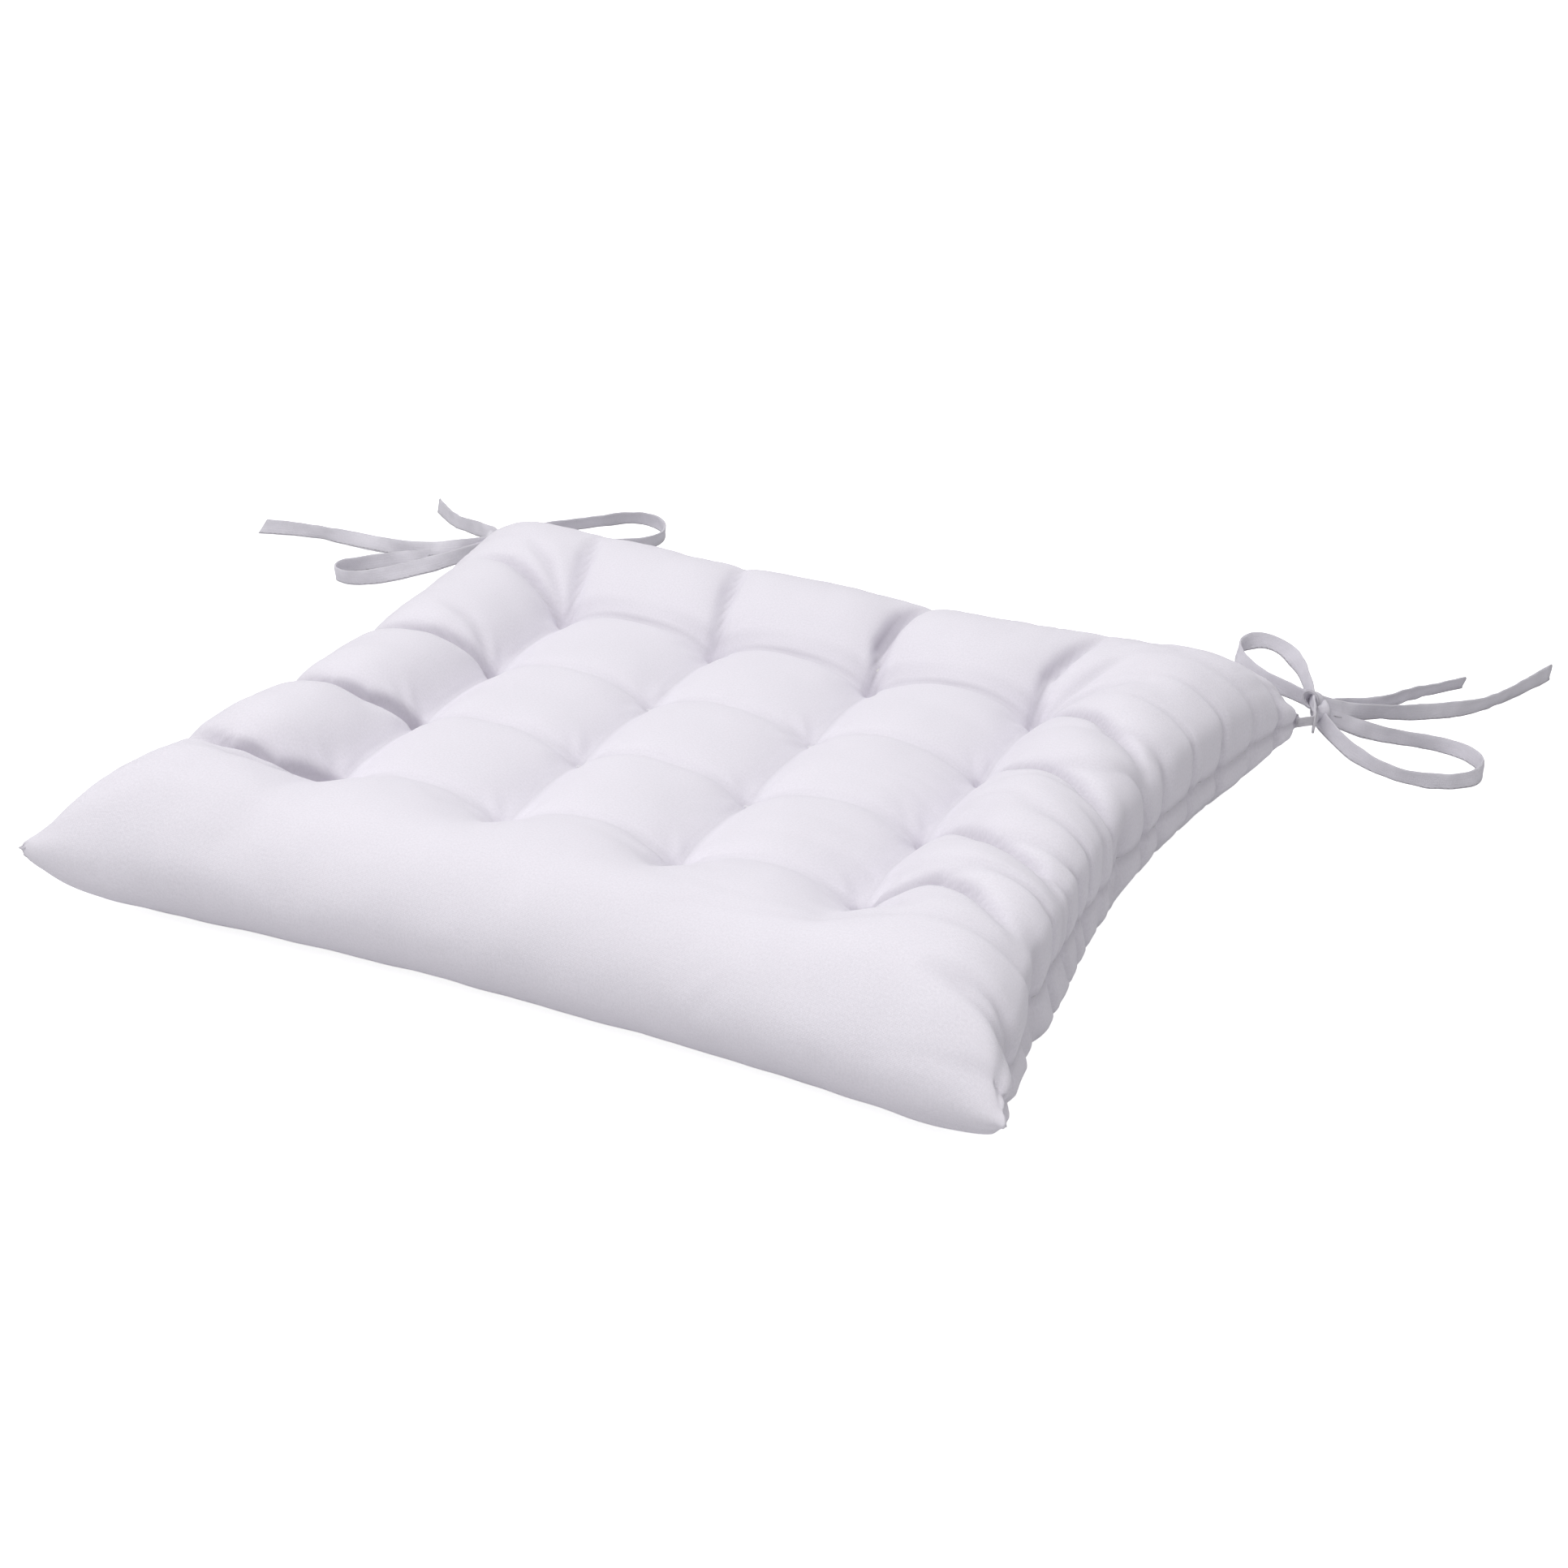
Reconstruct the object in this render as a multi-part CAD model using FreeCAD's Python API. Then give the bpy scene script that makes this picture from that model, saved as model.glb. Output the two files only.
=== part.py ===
"""Tufted chair seat pad: one folded cloth cover, loose fibre filling, sixteen thread tufts, gathered seams
on three sides, and two pairs of flat ties, each pair tied in a bow at a rear corner.

Millimetres. X runs across the pad, Y from its front fold to its rear seam, Z up.
The origin is on the surface the pad rests on, under the middle of the pad.
"""

import FreeCAD
import Part

import math
import os

Vector = FreeCAD.Vector

# Pad
PAD_WIDTH = 400.0           # between the tips of the side corners
PAD_DEPTH = 360.0           # between the tips of the front and rear corners
PAD_HEIGHT = 66.0           # crown of the top above the resting face
SEAM_HEIGHT = 26.0          # seam line above the resting face
SIDE_PULL_IN = 31.0         # how far each side seam lies inside its two tips
END_PULL_IN = 19.0          # the same at the front fold and the rear seam
TIP_LENGTH = 40.0           # length of a pointed corner before the side runs straight
WALL_LEAN = 3.0             # lean of the walls at the seam line, as an offset of the net above it
BELLY = 41.0                # depth the underside would hang below the seam if nothing flattened it
LIFT = (0.0, 1.6, 0.7, 0.7, 1.6, 0.0)   # heights of the net across the pad: a full rim and a level middle
CLOTH = 0.8                 # thickness of the cover cloth
FILL_GAP = 0.3              # between the cloth and the filling

# Tufts
TUFT_COLUMNS = 4
TUFT_ROWS = 4
TUFT_PITCH_X = 72.7
TUFT_PITCH_Y = 61.3
TUFT_SHIFT_Y = -5.0         # middle of the tuft grid from the middle of the pad
TUFT_TOP = 38.0             # floor of an upper dimple
TUFT_BOTTOM = 28.0          # roof of a lower dimple
DIMPLE_FLAT = 4.5           # radius of the flat spot under a bar tack
DIMPLE_RADIUS = 25.0        # radius of a dimple where it meets the crown
TUFT_THREAD = 1.0           # diameter of the twisted tufting thread
THREAD_CLEARANCE = 0.3      # around the thread in the cloth and the filling
TACK_LENGTH = 6.0
TACK_WIDTH = 1.2
TACK_HEIGHT = 0.7

# Seam stitches
STITCH_PITCH = 6.0
STITCH_LENGTH = 4.2
SEAM_THREAD = 0.7
SEAM_THREAD_GAP = 0.1
SEAM_END_MARGIN = 14.0      # from a corner tip to the first stitch

# Ties
TIE_WIDTH = 8.0
TIE_THICKNESS = 1.2
TACK_PIN = 1.2              # diameter of the thread post that a pair of ties hangs on
TACK_PIN_HEIGHT = 9.6
TACK_PIN_REACH = 4.6        # post axis beyond the corner tip
TACK_BAR = 1.0
TACK_ROOT = 5.0             # length of the bar sewn into the corner
EYE_CLEARANCE = 0.25        # between the post and the folded end of a tie
EYE_WALL = 1.1
EYE_HEIGHT = 3.6
EYE_OFFSET = 2.5            # middle of an eye above or below the seam line
KNOT_SIZE = (8.0, 7.0, 9.0)
KNOT_RISE = 2.5             # middle of the knot above the lower tie

REST_POST = (203.3, 183.3)  # where the right post stands when the routes below are used as they are

# Routes of the ties, each from its post through the knot, out along the loop, back through the knot
# and down its tail to the cut end.
TIE_ROUTES = {
    "tie_right_upper": [
        (203.3, 183.0, 29.5), (201.0, 191.0, 29.5), (197.5, 200.0, 29.5), (193.0, 211.0, 31.0),
        (186.0, 222.0, 35.0), (175.5, 230.5, 38.5), (164.0, 231.0, 40.0), (156.5, 222.5, 38.0),
        (161.0, 212.5, 35.0), (171.5, 207.0, 32.0), (184.0, 204.5, 30.0), (197.0, 203.0, 27.5),
        (207.5, 208.0, 23.5), (214.5, 219.5, 19.5), (221.5, 234.0, 15.5), (231.0, 250.0, 11.0),
        (243.0, 268.0, 7.5), (255.0, 287.0, 5.0), (264.0, 307.5, 4.6), (271.0, 328.0, 4.6),
        (277.0, 346.0, 4.6),
    ],
    "tie_right_lower": [
        (203.3, 183.0, 24.5), (201.8, 191.5, 25.0), (201.5, 200.0, 24.0), (206.0, 207.5, 19.5),
        (216.5, 214.5, 14.0), (228.0, 223.5, 9.5), (239.5, 232.0, 6.5), (252.0, 236.5, 4.8),
        (264.0, 232.5, 4.6), (271.5, 222.0, 4.6), (271.0, 209.5, 4.6), (262.5, 199.5, 4.7),
        (249.0, 193.5, 5.2), (235.0, 190.5, 7.5), (221.0, 190.5, 12.0), (209.5, 193.0, 18.5),
        (201.5, 197.5, 23.0), (199.5, 205.0, 23.5), (203.0, 214.5, 22.0), (209.0, 225.0, 19.0),
        (215.5, 238.0, 15.5), (220.0, 256.0, 12.0), (225.0, 275.0, 9.0), (233.0, 295.0, 6.0),
        (243.0, 313.0, 4.6),
    ],
    "tie_left_upper": [
        (-203.3, 183.0, 29.5), (-203.5, 191.0, 29.5), (-202.0, 200.0, 29.0), (-195.0, 210.0, 30.0),
        (-184.0, 219.5, 31.5), (-172.0, 230.0, 32.5), (-162.5, 242.5, 32.5), (-152.0, 251.0, 32.0),
        (-140.5, 248.5, 31.0), (-135.0, 238.0, 30.0), (-138.0, 226.0, 29.0), (-149.0, 217.0, 28.5),
        (-163.0, 210.0, 28.5), (-178.0, 204.5, 28.5), (-193.0, 201.0, 28.0), (-206.0, 197.5, 26.5),
        (-218.0, 192.0, 24.0), (-230.5, 191.0, 20.5), (-243.5, 196.0, 16.0), (-258.0, 203.0, 11.5),
        (-273.0, 208.5, 8.0), (-289.0, 213.5, 5.5), (-306.0, 216.0, 4.6), (-322.0, 215.5, 4.6),
        (-337.0, 212.5, 4.6), (-348.0, 208.5, 4.6),
    ],
    "tie_left_lower": [
        (-203.3, 183.0, 24.5), (-204.5, 191.0, 25.0), (-208.0, 198.0, 25.0), (-216.0, 199.5, 22.5),
        (-225.5, 196.0, 19.0), (-236.0, 193.0, 15.0), (-248.5, 194.5, 11.0), (-263.0, 194.0, 7.5),
        (-275.5, 189.0, 5.0),
        (-284.0, 180.5, 4.6), (-281.5, 170.0, 4.6), (-270.5, 168.0, 4.8), (-257.5, 174.5, 6.5),
        (-244.0, 180.5, 10.5), (-230.0, 183.5, 16.0), (-217.5, 189.0, 21.0), (-208.5, 198.0, 24.5),
        (-211.5, 209.0, 24.0), (-221.5, 218.5, 21.5), (-233.5, 229.0, 18.0), (-247.5, 241.0, 13.5),
        (-262.0, 254.5, 9.0), (-275.0, 268.0, 6.0), (-286.5, 280.0, 4.6),
    ],
}


def both_ways(values):
    """Distances from the middle, outermost first, as positions from the low end to the high end."""
    return [-v for v in values] + values[::-1]


def same_ways(values):
    """Half sizes, from a corner to the middle, as a whole list from one corner to the other."""
    return values + values[::-1]


def plan_poles(inset):
    """Half widths, half depths and positions of the six by six control net of the pad, seen from above."""
    scale_x = 1.0 - inset / (PAD_WIDTH / 2 - SIDE_PULL_IN)
    scale_y = 1.0 - inset / (PAD_DEPTH / 2 - END_PULL_IN)
    half_width = PAD_WIDTH / 2
    half_depth = PAD_DEPTH / 2
    widths = same_ways([half_width, half_width - 0.9 * SIDE_PULL_IN, half_width - SIDE_PULL_IN])
    depths = same_ways([half_depth, half_depth - 0.9 * END_PULL_IN, half_depth - END_PULL_IN])
    along_x = both_ways([half_width, half_width - TIP_LENGTH, 0.3 * half_width])
    along_y = both_ways([half_depth, half_depth - TIP_LENGTH, 0.3 * half_depth])
    net = []
    for i in range(6):
        row = []
        for j in range(6):
            x = along_x[i]
            y = along_y[j]
            if i in (0, 5):
                x = math.copysign(widths[j], x)
            elif i in (1, 4) and j not in (0, 5):
                x = math.copysign(widths[j] - WALL_LEAN, x)
            if j in (0, 5):
                y = math.copysign(depths[i], y)
            elif j in (1, 4) and i not in (0, 5):
                y = math.copysign(depths[i] - WALL_LEAN, y)
            row.append((scale_x * x, scale_y * y))
        net.append(row)
    return net


def skin(inset, rise):
    """One face of the pad, raised above (or hung below) the seam line by rise at its middle."""
    crown = sum(value * weight for value, weight in zip(LIFT, (1, 5, 10, 10, 5, 1))) / 32
    net = plan_poles(inset)
    surface = Part.BezierSurface()
    surface.increase(5, 5)
    for i in range(6):
        for j in range(6):
            x, y = net[i][j]
            z = SEAM_HEIGHT + rise / crown ** 2 * LIFT[i] * LIFT[j]
            surface.setPole(i + 1, j + 1, Vector(x, y, z))
    return surface.toShape()


def tuft_centres():
    """Row by row from the front, each row from the left."""
    for row in range(TUFT_ROWS):
        for column in range(TUFT_COLUMNS):
            x = (column - (TUFT_COLUMNS - 1) / 2) * TUFT_PITCH_X
            y = (row - (TUFT_ROWS - 1) / 2) * TUFT_PITCH_Y + TUFT_SHIFT_Y
            yield row, column, x, y


def dimple(x, y, inset, upper):
    """Cone that presses the pad in at one tuft, grown by inset all over."""
    flat = DIMPLE_FLAT + inset * (math.sqrt(2) - 1)
    slope = (DIMPLE_RADIUS - DIMPLE_FLAT) / (PAD_HEIGHT - TUFT_TOP)
    if upper:
        height = PAD_HEIGHT - TUFT_TOP + 20.0
        base = Vector(x, y, TUFT_TOP - inset)
        return Part.makeCone(flat, flat + slope * height, height, base, Vector(0, 0, 1))
    height = TUFT_BOTTOM + 10.0
    base = Vector(x, y, TUFT_BOTTOM + inset)
    return Part.makeCone(flat, flat + slope * height, height, base, Vector(0, 0, -1))


def pad_body(inset):
    """The pad's outer form, shrunk by inset all over: crowned top, flattened underside, dimples."""
    shell = Part.Shell([skin(inset, PAD_HEIGHT - SEAM_HEIGHT - inset), skin(inset, inset - BELLY)])
    body = Part.Solid(shell)
    if body.Volume < 0:
        body.reverse()
    corner = Vector(-PAD_WIDTH, -PAD_DEPTH, inset - PAD_HEIGHT)
    floor = Part.makeBox(2 * PAD_WIDTH, 2 * PAD_DEPTH, PAD_HEIGHT, corner)
    body = body.cut(floor)
    cones = []
    for _, _, x, y in tuft_centres():
        cones.append(dimple(x, y, inset, True))
        cones.append(dimple(x, y, inset, False))
    return body.cut(cones)


def thread_holes():
    """Holes for the tufting threads, through cloth and filling."""
    radius = TUFT_THREAD / 2 + THREAD_CLEARANCE
    return [Part.makeCylinder(radius, PAD_HEIGHT, Vector(x, y, 0)) for _, _, x, y in tuft_centres()]


def tuft_thread(x, y):
    """Thread drawn through the pad, ending in a bar tack on the cloth at each end."""
    core = Part.makeCylinder(TUFT_THREAD / 2, TUFT_TOP - TUFT_BOTTOM, Vector(x, y, TUFT_BOTTOM))
    tacks = []
    for low in (TUFT_TOP, TUFT_BOTTOM - TACK_HEIGHT):
        corner = Vector(x - TACK_LENGTH / 2, y - TACK_WIDTH / 2, low)
        tacks.append(Part.makeBox(TACK_LENGTH, TACK_WIDTH, TACK_HEIGHT, corner))
    return core.fuse(tacks).removeSplitter()


def seam_curve(side):
    """The seam line of one side of the pad: left, right or rear."""
    net = plan_poles(0.0)
    if side == "left":
        outline = [net[0][j] for j in range(6)]
    elif side == "right":
        outline = [net[5][j] for j in range(6)]
    else:
        outline = [net[i][5] for i in range(6)]
    curve = Part.BezierCurve()
    curve.setPoles([Vector(x, y, SEAM_HEIGHT) for x, y in outline])
    return curve


def seam_stitches(side):
    """Row of stitches laid along a seam, just outside the cloth."""
    curve = seam_curve(side)
    usable = curve.length() - 2 * SEAM_END_MARGIN
    count = int(usable / STITCH_PITCH) + 1
    start = SEAM_END_MARGIN + (usable - (count - 1) * STITCH_PITCH) / 2
    stitches = []
    for index in range(count):
        t = curve.parameterAtDistance(start + index * STITCH_PITCH, curve.FirstParameter)
        point = curve.value(t)
        along = Vector(*curve.tangent(t)[0])
        outward = Vector(along.y, -along.x, 0)
        if outward.dot(Vector(point.x, point.y, 0)) < 0:
            outward = outward * -1
        middle = point + outward * (SEAM_THREAD / 2 + SEAM_THREAD_GAP)
        first = middle - along * (STITCH_LENGTH / 2)
        stitches.append(Part.makeCylinder(SEAM_THREAD / 2, STITCH_LENGTH, first, along))
    return Part.Compound(stitches)


def post_axis(side):
    """Point on the axis of the thread post at a rear corner; side is 1 on the right and -1 on the left."""
    reach = TACK_PIN_REACH / math.sqrt(2)
    return Vector(side * (PAD_WIDTH / 2 + reach), PAD_DEPTH / 2 + reach, SEAM_HEIGHT)


def corner_tack(side):
    """Bar tack sewn into a rear corner, with the upright thread post that its two ties turn on."""
    top = post_axis(side)
    outward = Vector(side, 1, 0).normalize()
    post = Part.makeCylinder(TACK_PIN / 2, TACK_PIN_HEIGHT, top - Vector(0, 0, TACK_PIN_HEIGHT / 2))
    bar = Part.makeCylinder(TACK_BAR / 2, TACK_PIN_REACH + TACK_ROOT, top, outward * -1)
    return post.fuse(bar).removeSplitter()


def route_corner(previous, corner, following):
    """Radius, start, middle and end of the arc that rounds one corner of a route."""
    run_in = corner - previous
    run_out = following - corner
    turn = run_in.getAngle(run_out)
    shorter = min(run_in.Length, run_out.Length)
    radius = 0.45 * shorter / math.tan(turn / 2)
    reach = 0.45 * shorter
    back = Vector(run_in).normalize() * -1
    ahead = Vector(run_out).normalize()
    start = corner + back * reach
    end = corner + ahead * reach
    inward = (back + ahead).normalize()
    centre = corner + inward * (radius / math.cos(turn / 2))
    middle = centre - inward * radius
    return radius, turn, start, middle, end, centre


def section_face(point, along, upright):
    """Cross-section of a tie at one point, standing on its edge."""
    across = along.cross(upright).normalize()
    half_t = across * (TIE_THICKNESS / 2)
    half_w = Vector(upright).normalize() * (TIE_WIDTH / 2)
    low = point - half_w
    high = point + half_w
    corners = [low - half_t, low + half_t, high + half_t, high - half_t, low - half_t]
    return Part.Face(Part.makePolygon(corners))


def tie_strip(name, points):
    """Flat strip along a route of straight runs joined by tangent arcs."""
    along = (points[1] - points[0]).normalize()
    upright = Vector(0, 0, 1) - along * along.z
    upright.normalize()
    place = points[0]
    pieces = []
    length = 0.0
    radii = []
    for index in range(1, len(points) - 1):
        radius, turn, start, middle, end, centre = route_corner(*points[index - 1:index + 2])
        pieces.append(section_face(place, along, upright).extrude(start - place))
        axis = (start - centre).cross(end - centre).normalize()
        pieces.append(section_face(start, along, upright).revolve(centre, axis, math.degrees(turn)))
        length += (start - place).Length + radius * turn
        radii.append(radius)
        swing = FreeCAD.Rotation(axis, math.degrees(turn))
        along = swing.multVec(along)
        upright = swing.multVec(upright)
        place = end
    pieces.append(section_face(place, along, upright).extrude(points[-1] - place))
    length += (points[-1] - place).Length
    solid = pieces[0].fuse(pieces[1:]).removeSplitter()
    expected = TIE_WIDTH * TIE_THICKNESS * length
    print(f"{name}: length {length:.0f}, section times length {expected:.0f}, volume {solid.Volume:.0f}")
    print("  radii " + " ".join(f"{r:.0f}" for r in radii))
    return solid


def knot(centre):
    """The tight wrap where a pair of ties is knotted, as a block with rounded edges."""
    size = Vector(*KNOT_SIZE)
    block = Part.makeBox(size.x, size.y, size.z, centre - size * 0.5)
    return block.makeFillet(min(KNOT_SIZE) / 4, block.Edges)


def tie(name):
    """One tie: a folded eye round its post, and the strip; the lower tie of a pair carries the knot."""
    side = 1 if "right" in name else -1
    level = EYE_OFFSET if "upper" in name else -EYE_OFFSET
    post = post_axis(side)
    eye_radius = TACK_PIN / 2 + EYE_CLEARANCE
    low = post + Vector(0, 0, level - EYE_HEIGHT / 2)
    eye = Part.makeCylinder(eye_radius + EYE_WALL, EYE_HEIGHT, low)
    points = [Vector(*point) for point in TIE_ROUTES[name]]
    points[0] = Vector(post.x, post.y, points[0].z)
    shift = Vector(post.x - side * REST_POST[0], post.y - REST_POST[1], 0)
    points = points[:1] + [point + shift for point in points[1:]]
    pieces = [eye]
    if "lower" in name:
        pieces.append(knot(points[2] + Vector(0, 0, KNOT_RISE)))
    body = tie_strip(name, points).fuse(pieces)
    clear = Part.makeCylinder(eye_radius, 3 * TACK_PIN_HEIGHT, post - Vector(0, 0, 1.5 * TACK_PIN_HEIGHT))
    return body.cut(clear)


def save(name, shape):
    shape.exportStep(os.path.join("parts", name + ".step"))
    print(f"{name}: {len(shape.Solids)} solid(s), {shape.Volume / 1000:.2f} cm3, valid {shape.isValid()}")


def main():
    os.makedirs("parts", exist_ok=True)
    holes = thread_holes()
    save("cover", pad_body(0.0).cut(pad_body(CLOTH)).cut(holes))
    save("filling", pad_body(CLOTH + FILL_GAP).cut(holes))
    for side in ("left", "right", "rear"):
        save(f"seam_thread_{side}", seam_stitches(side))
    for row, column, x, y in tuft_centres():
        save(f"tuft_thread_{row + 1}{column + 1}", tuft_thread(x, y))
    for side, word in ((1, "right"), (-1, "left")):
        save(f"corner_tack_{word}", corner_tack(side))
    for name in TIE_ROUTES:
        save(name, tie(name))


main()
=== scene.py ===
"""Tufted chair seat pad, finished for rendering.

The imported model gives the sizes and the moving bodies. Here the pad gets its cloth: two flat panels sewn
round their rims, drawn down at sixteen tufts, filled by a cloth simulation and creased along their rims. The
four ties are folded strips swept along their lines, and every stitch is a short piece of thread.

Metres. X runs across the pad, Y from its front fold to its rear seam, Z up.
"""

import math
from functools import partial

import bmesh
import bpy
import numpy as np
from bpy.props import FloatProperty, FloatVectorProperty, IntProperty, PointerProperty
from mathutils import Matrix, Vector, noise


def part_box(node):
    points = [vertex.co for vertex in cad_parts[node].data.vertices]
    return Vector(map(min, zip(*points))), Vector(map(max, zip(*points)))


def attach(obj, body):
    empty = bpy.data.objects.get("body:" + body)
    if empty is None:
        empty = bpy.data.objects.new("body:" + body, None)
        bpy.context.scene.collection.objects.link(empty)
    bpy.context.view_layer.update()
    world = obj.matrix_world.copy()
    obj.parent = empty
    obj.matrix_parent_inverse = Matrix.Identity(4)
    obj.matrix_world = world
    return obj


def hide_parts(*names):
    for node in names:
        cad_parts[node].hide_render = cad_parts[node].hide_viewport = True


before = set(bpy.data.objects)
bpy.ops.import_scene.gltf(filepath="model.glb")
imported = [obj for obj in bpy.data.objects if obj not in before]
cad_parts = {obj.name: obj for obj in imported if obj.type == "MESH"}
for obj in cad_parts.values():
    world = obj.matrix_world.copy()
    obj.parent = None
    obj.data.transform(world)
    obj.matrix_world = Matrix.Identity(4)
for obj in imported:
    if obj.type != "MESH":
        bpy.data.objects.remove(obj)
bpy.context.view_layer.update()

bl_info = {
    "name": "Tufted seat pad",
    "version": (1, 0, 0),
    "blender": (4, 5, 0),
    "location": "View3D > Sidebar > Seat pad",
    "description": "Makes a tufted chair seat pad with four ties on the bodies of its packed model",
    "category": "Add Mesh",
}

# Tufts, counted from the front row and from the left column
ROWS = 4
COLUMNS = 4

# Cloth as cut: between the tufts, and from the outer tufts to the rim
CUT_PITCH_U = 0.080
CUT_PITCH_V = 0.064
CUT_SIDE = 0.096
CUT_FRONT = 0.092
CUT_REAR = 0.100
CUT_CELL = 0.004

# Shape of a rim: the share of its cloth that climbs to the crest, the share of its width where the crest
# lies, and how steeply it starts to climb
SIDE_RIM = (0.42, 0.48, 2.0)
RIGHT_RIM = (0.50, 0.60, 1.8)
FRONT_RIM = (0.52, 0.64, 1.1)
FRONT_CREST_DROP = 0.0095
FRONT_FOLD_DROP = 0.006     # how far the front fold hangs below the seam line

# Creases pressed into the top of the rim. Each runs out from a tuft (row, column) through the points that
# follow, given from the tuft; then come its depth and its breadth.
RIM_CREASES = [
    (0, 0, [(-0.018, -0.014), (-0.037, -0.017), (-0.062, -0.008)], 0.0135, 0.0036),
    (0, 0, [(-0.014, -0.022), (-0.030, -0.027), (-0.044, -0.026)], 0.0050, 0.0030),
    (1, 0, [(-0.018, -0.011), (-0.036, -0.012), (-0.062, -0.005)], 0.0130, 0.0036),
    (2, 0, [(-0.014, -0.004), (-0.030, -0.008), (-0.058, -0.011)], 0.0100, 0.0034),
    (2, 0, [(-0.016, 0.010), (-0.032, 0.014)], 0.0030, 0.0030),
    (3, 0, [(-0.016, 0.006), (-0.034, 0.012), (-0.050, 0.012)], 0.0075, 0.0036),
    (3, 0, [(-0.018, 0.019), (-0.036, 0.031)], 0.0038, 0.0040),
    (3, 0, [(-0.003, 0.018), (-0.008, 0.038), (-0.012, 0.056)], 0.0075, 0.0036),
    (3, 1, [(-0.005, 0.018), (-0.009, 0.038), (-0.014, 0.060)], 0.0080, 0.0036),
    (3, 2, [(-0.004, 0.020), (-0.003, 0.042), (0.002, 0.064)], 0.0115, 0.0040),
    (3, 3, [(-0.002, 0.018), (0.004, 0.040), (0.010, 0.060)], 0.0085, 0.0040),
    (3, 3, [(0.013, 0.016), (0.026, 0.034)], 0.0036, 0.0040),
    (3, 3, [(0.020, 0.010), (0.040, 0.016)], 0.0030, 0.0040),
    (3, 3, [(0.012, -0.008), (0.032, -0.022), (0.054, -0.040), (0.068, -0.054)], 0.0085, 0.0040),
    (2, 3, [(0.014, -0.004), (0.038, -0.016), (0.061, -0.031), (0.074, -0.036)], 0.0085, 0.0040),
    (1, 3, [(0.013, -0.005), (0.032, -0.019), (0.054, -0.029), (0.070, -0.040)], 0.0085, 0.0040),
    (0, 3, [(0.012, 0.004), (0.025, 0.006), (0.043, -0.002), (0.064, -0.016)], 0.0090, 0.0036),
    (0, 3, [(0.010, -0.008), (0.024, -0.014)], 0.0030, 0.0035),
    (0, 2, [(-0.004, -0.014), (0.004, -0.026)], 0.0022, 0.0040),
    (0, 1, [(0.010, -0.010), (0.022, -0.014)], 0.0018, 0.0040),
    (0, 0, [(0.012, -0.004), (0.026, -0.006)], 0.0018, 0.0035),
]

UPPER_BULGE = 0.82          # lower is fuller
UNDER_BULGE = 0.58
PULL_POWER = 2.6            # a higher power keeps a side's pull-in going nearer to its tips
SEAM_DROP = 0.0065          # of the seam line below mid height
LEFT_TIP_RISE = 0.003       # of the front tips above the seam line
RIGHT_TIP_RISE = -0.005
WAVE_SPACING = 0.055        # soft waves over the top
WAVE_HEIGHT = 0.0016
# Between the tufts, on top
CELL_STEEPNESS = 3.0        # how steeply a cell rises from the valleys beside it
ROW_REACH = 0.0042          # how far from its line a cross crease fades
FRONT_ROW_SHARE = 0.55      # of a cross crease's depth, at the front row
TUFT_SINK = 0.0012          # of the cloth below the top of a tuft's thread
DIMPLE_REACH = 0.009        # how far from its tuft a dimple fades, along a valley
DIMPLE_REACH_AHEAD = 0.020  # and in front of the first row
# Between the tufts, underneath
UNDER_VALLEY = 0.010        # height of the valleys
UNDER_DIMPLE_REACH = 0.012
UNDER_ROW_RISE = 0.006
UNDER_ROW_REACH = 0.006
# The pad's right side stands out further than its left one, underneath most of all
RIGHT_OVERHANG = 2.6
UNDER_OVERHANG = 1.3
LOW_BULGE = 0.8             # more of it near the right front corner
LOW_BULGE_Y = -0.085
LOW_BULGE_REACH = 0.08
# Rim creases
SHARP_CREASE = 0.0024       # half breadth of the sharp line at the bottom of a crease
SHARP_SHARE = 0.45          # of the crease's depth
DEEP_CREASE = 0.0130        # from this depth up, a crease has its full painted shade
REARWARDS = np.array([-0.39, 0.92])     # from a crease's line to its wall with painted shade
WALL_SHADE = 0.19           # how far up that wall its full painted shade reaches, as a share of the crease's depth
WALL_EDGE = 0.0012          # how softly the painted shade ends, and how much more softly behind the line
WALL_EDGE_REAR = 0.0011

# Folds gathered into a seam: their height as a share of the pucker's, how far they run, their spacing, the
# seed of their noise, and the share of them that is crease
GATHERS = {"left": (1.0, 0.018, 0.012, 1.3, 0.32), "right": (2.5, 0.042, 0.022, 9.3, 0.24),
           "rear": (1.0, 0.018, 0.012, 17.3, 0.32)}
# Fine relief of the cover
ROW_LINE = 0.0009           # depth and half breadth of the line across the columns, at each row
ROW_LINE_BREADTH = 0.0022
WRINKLE = 0.00042           # height of the wrinkles round a tuft, and the ring where they are highest
WRINKLE_RING = 0.009
WRINKLE_BREADTH = 0.006
LIP = 0.0005                # height of the lips beside a seam
UNEVENNESS = ((0.00022, 0.012, 3.0), (0.0008, 0.028, 7.0))      # heights, spacings and seeds
# Full painted shade, from 0 to 1, in each kind of hollow: the cloth's colour darkened there, where shade
# falls
SHADES = {"crease": 0.80, "seam": 0.40, "fold": 0.30, "fold under": 0.12, "row": 0.26, "rear row": 0.50,
          "column": 0.30, "tuft": 0.60}

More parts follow.
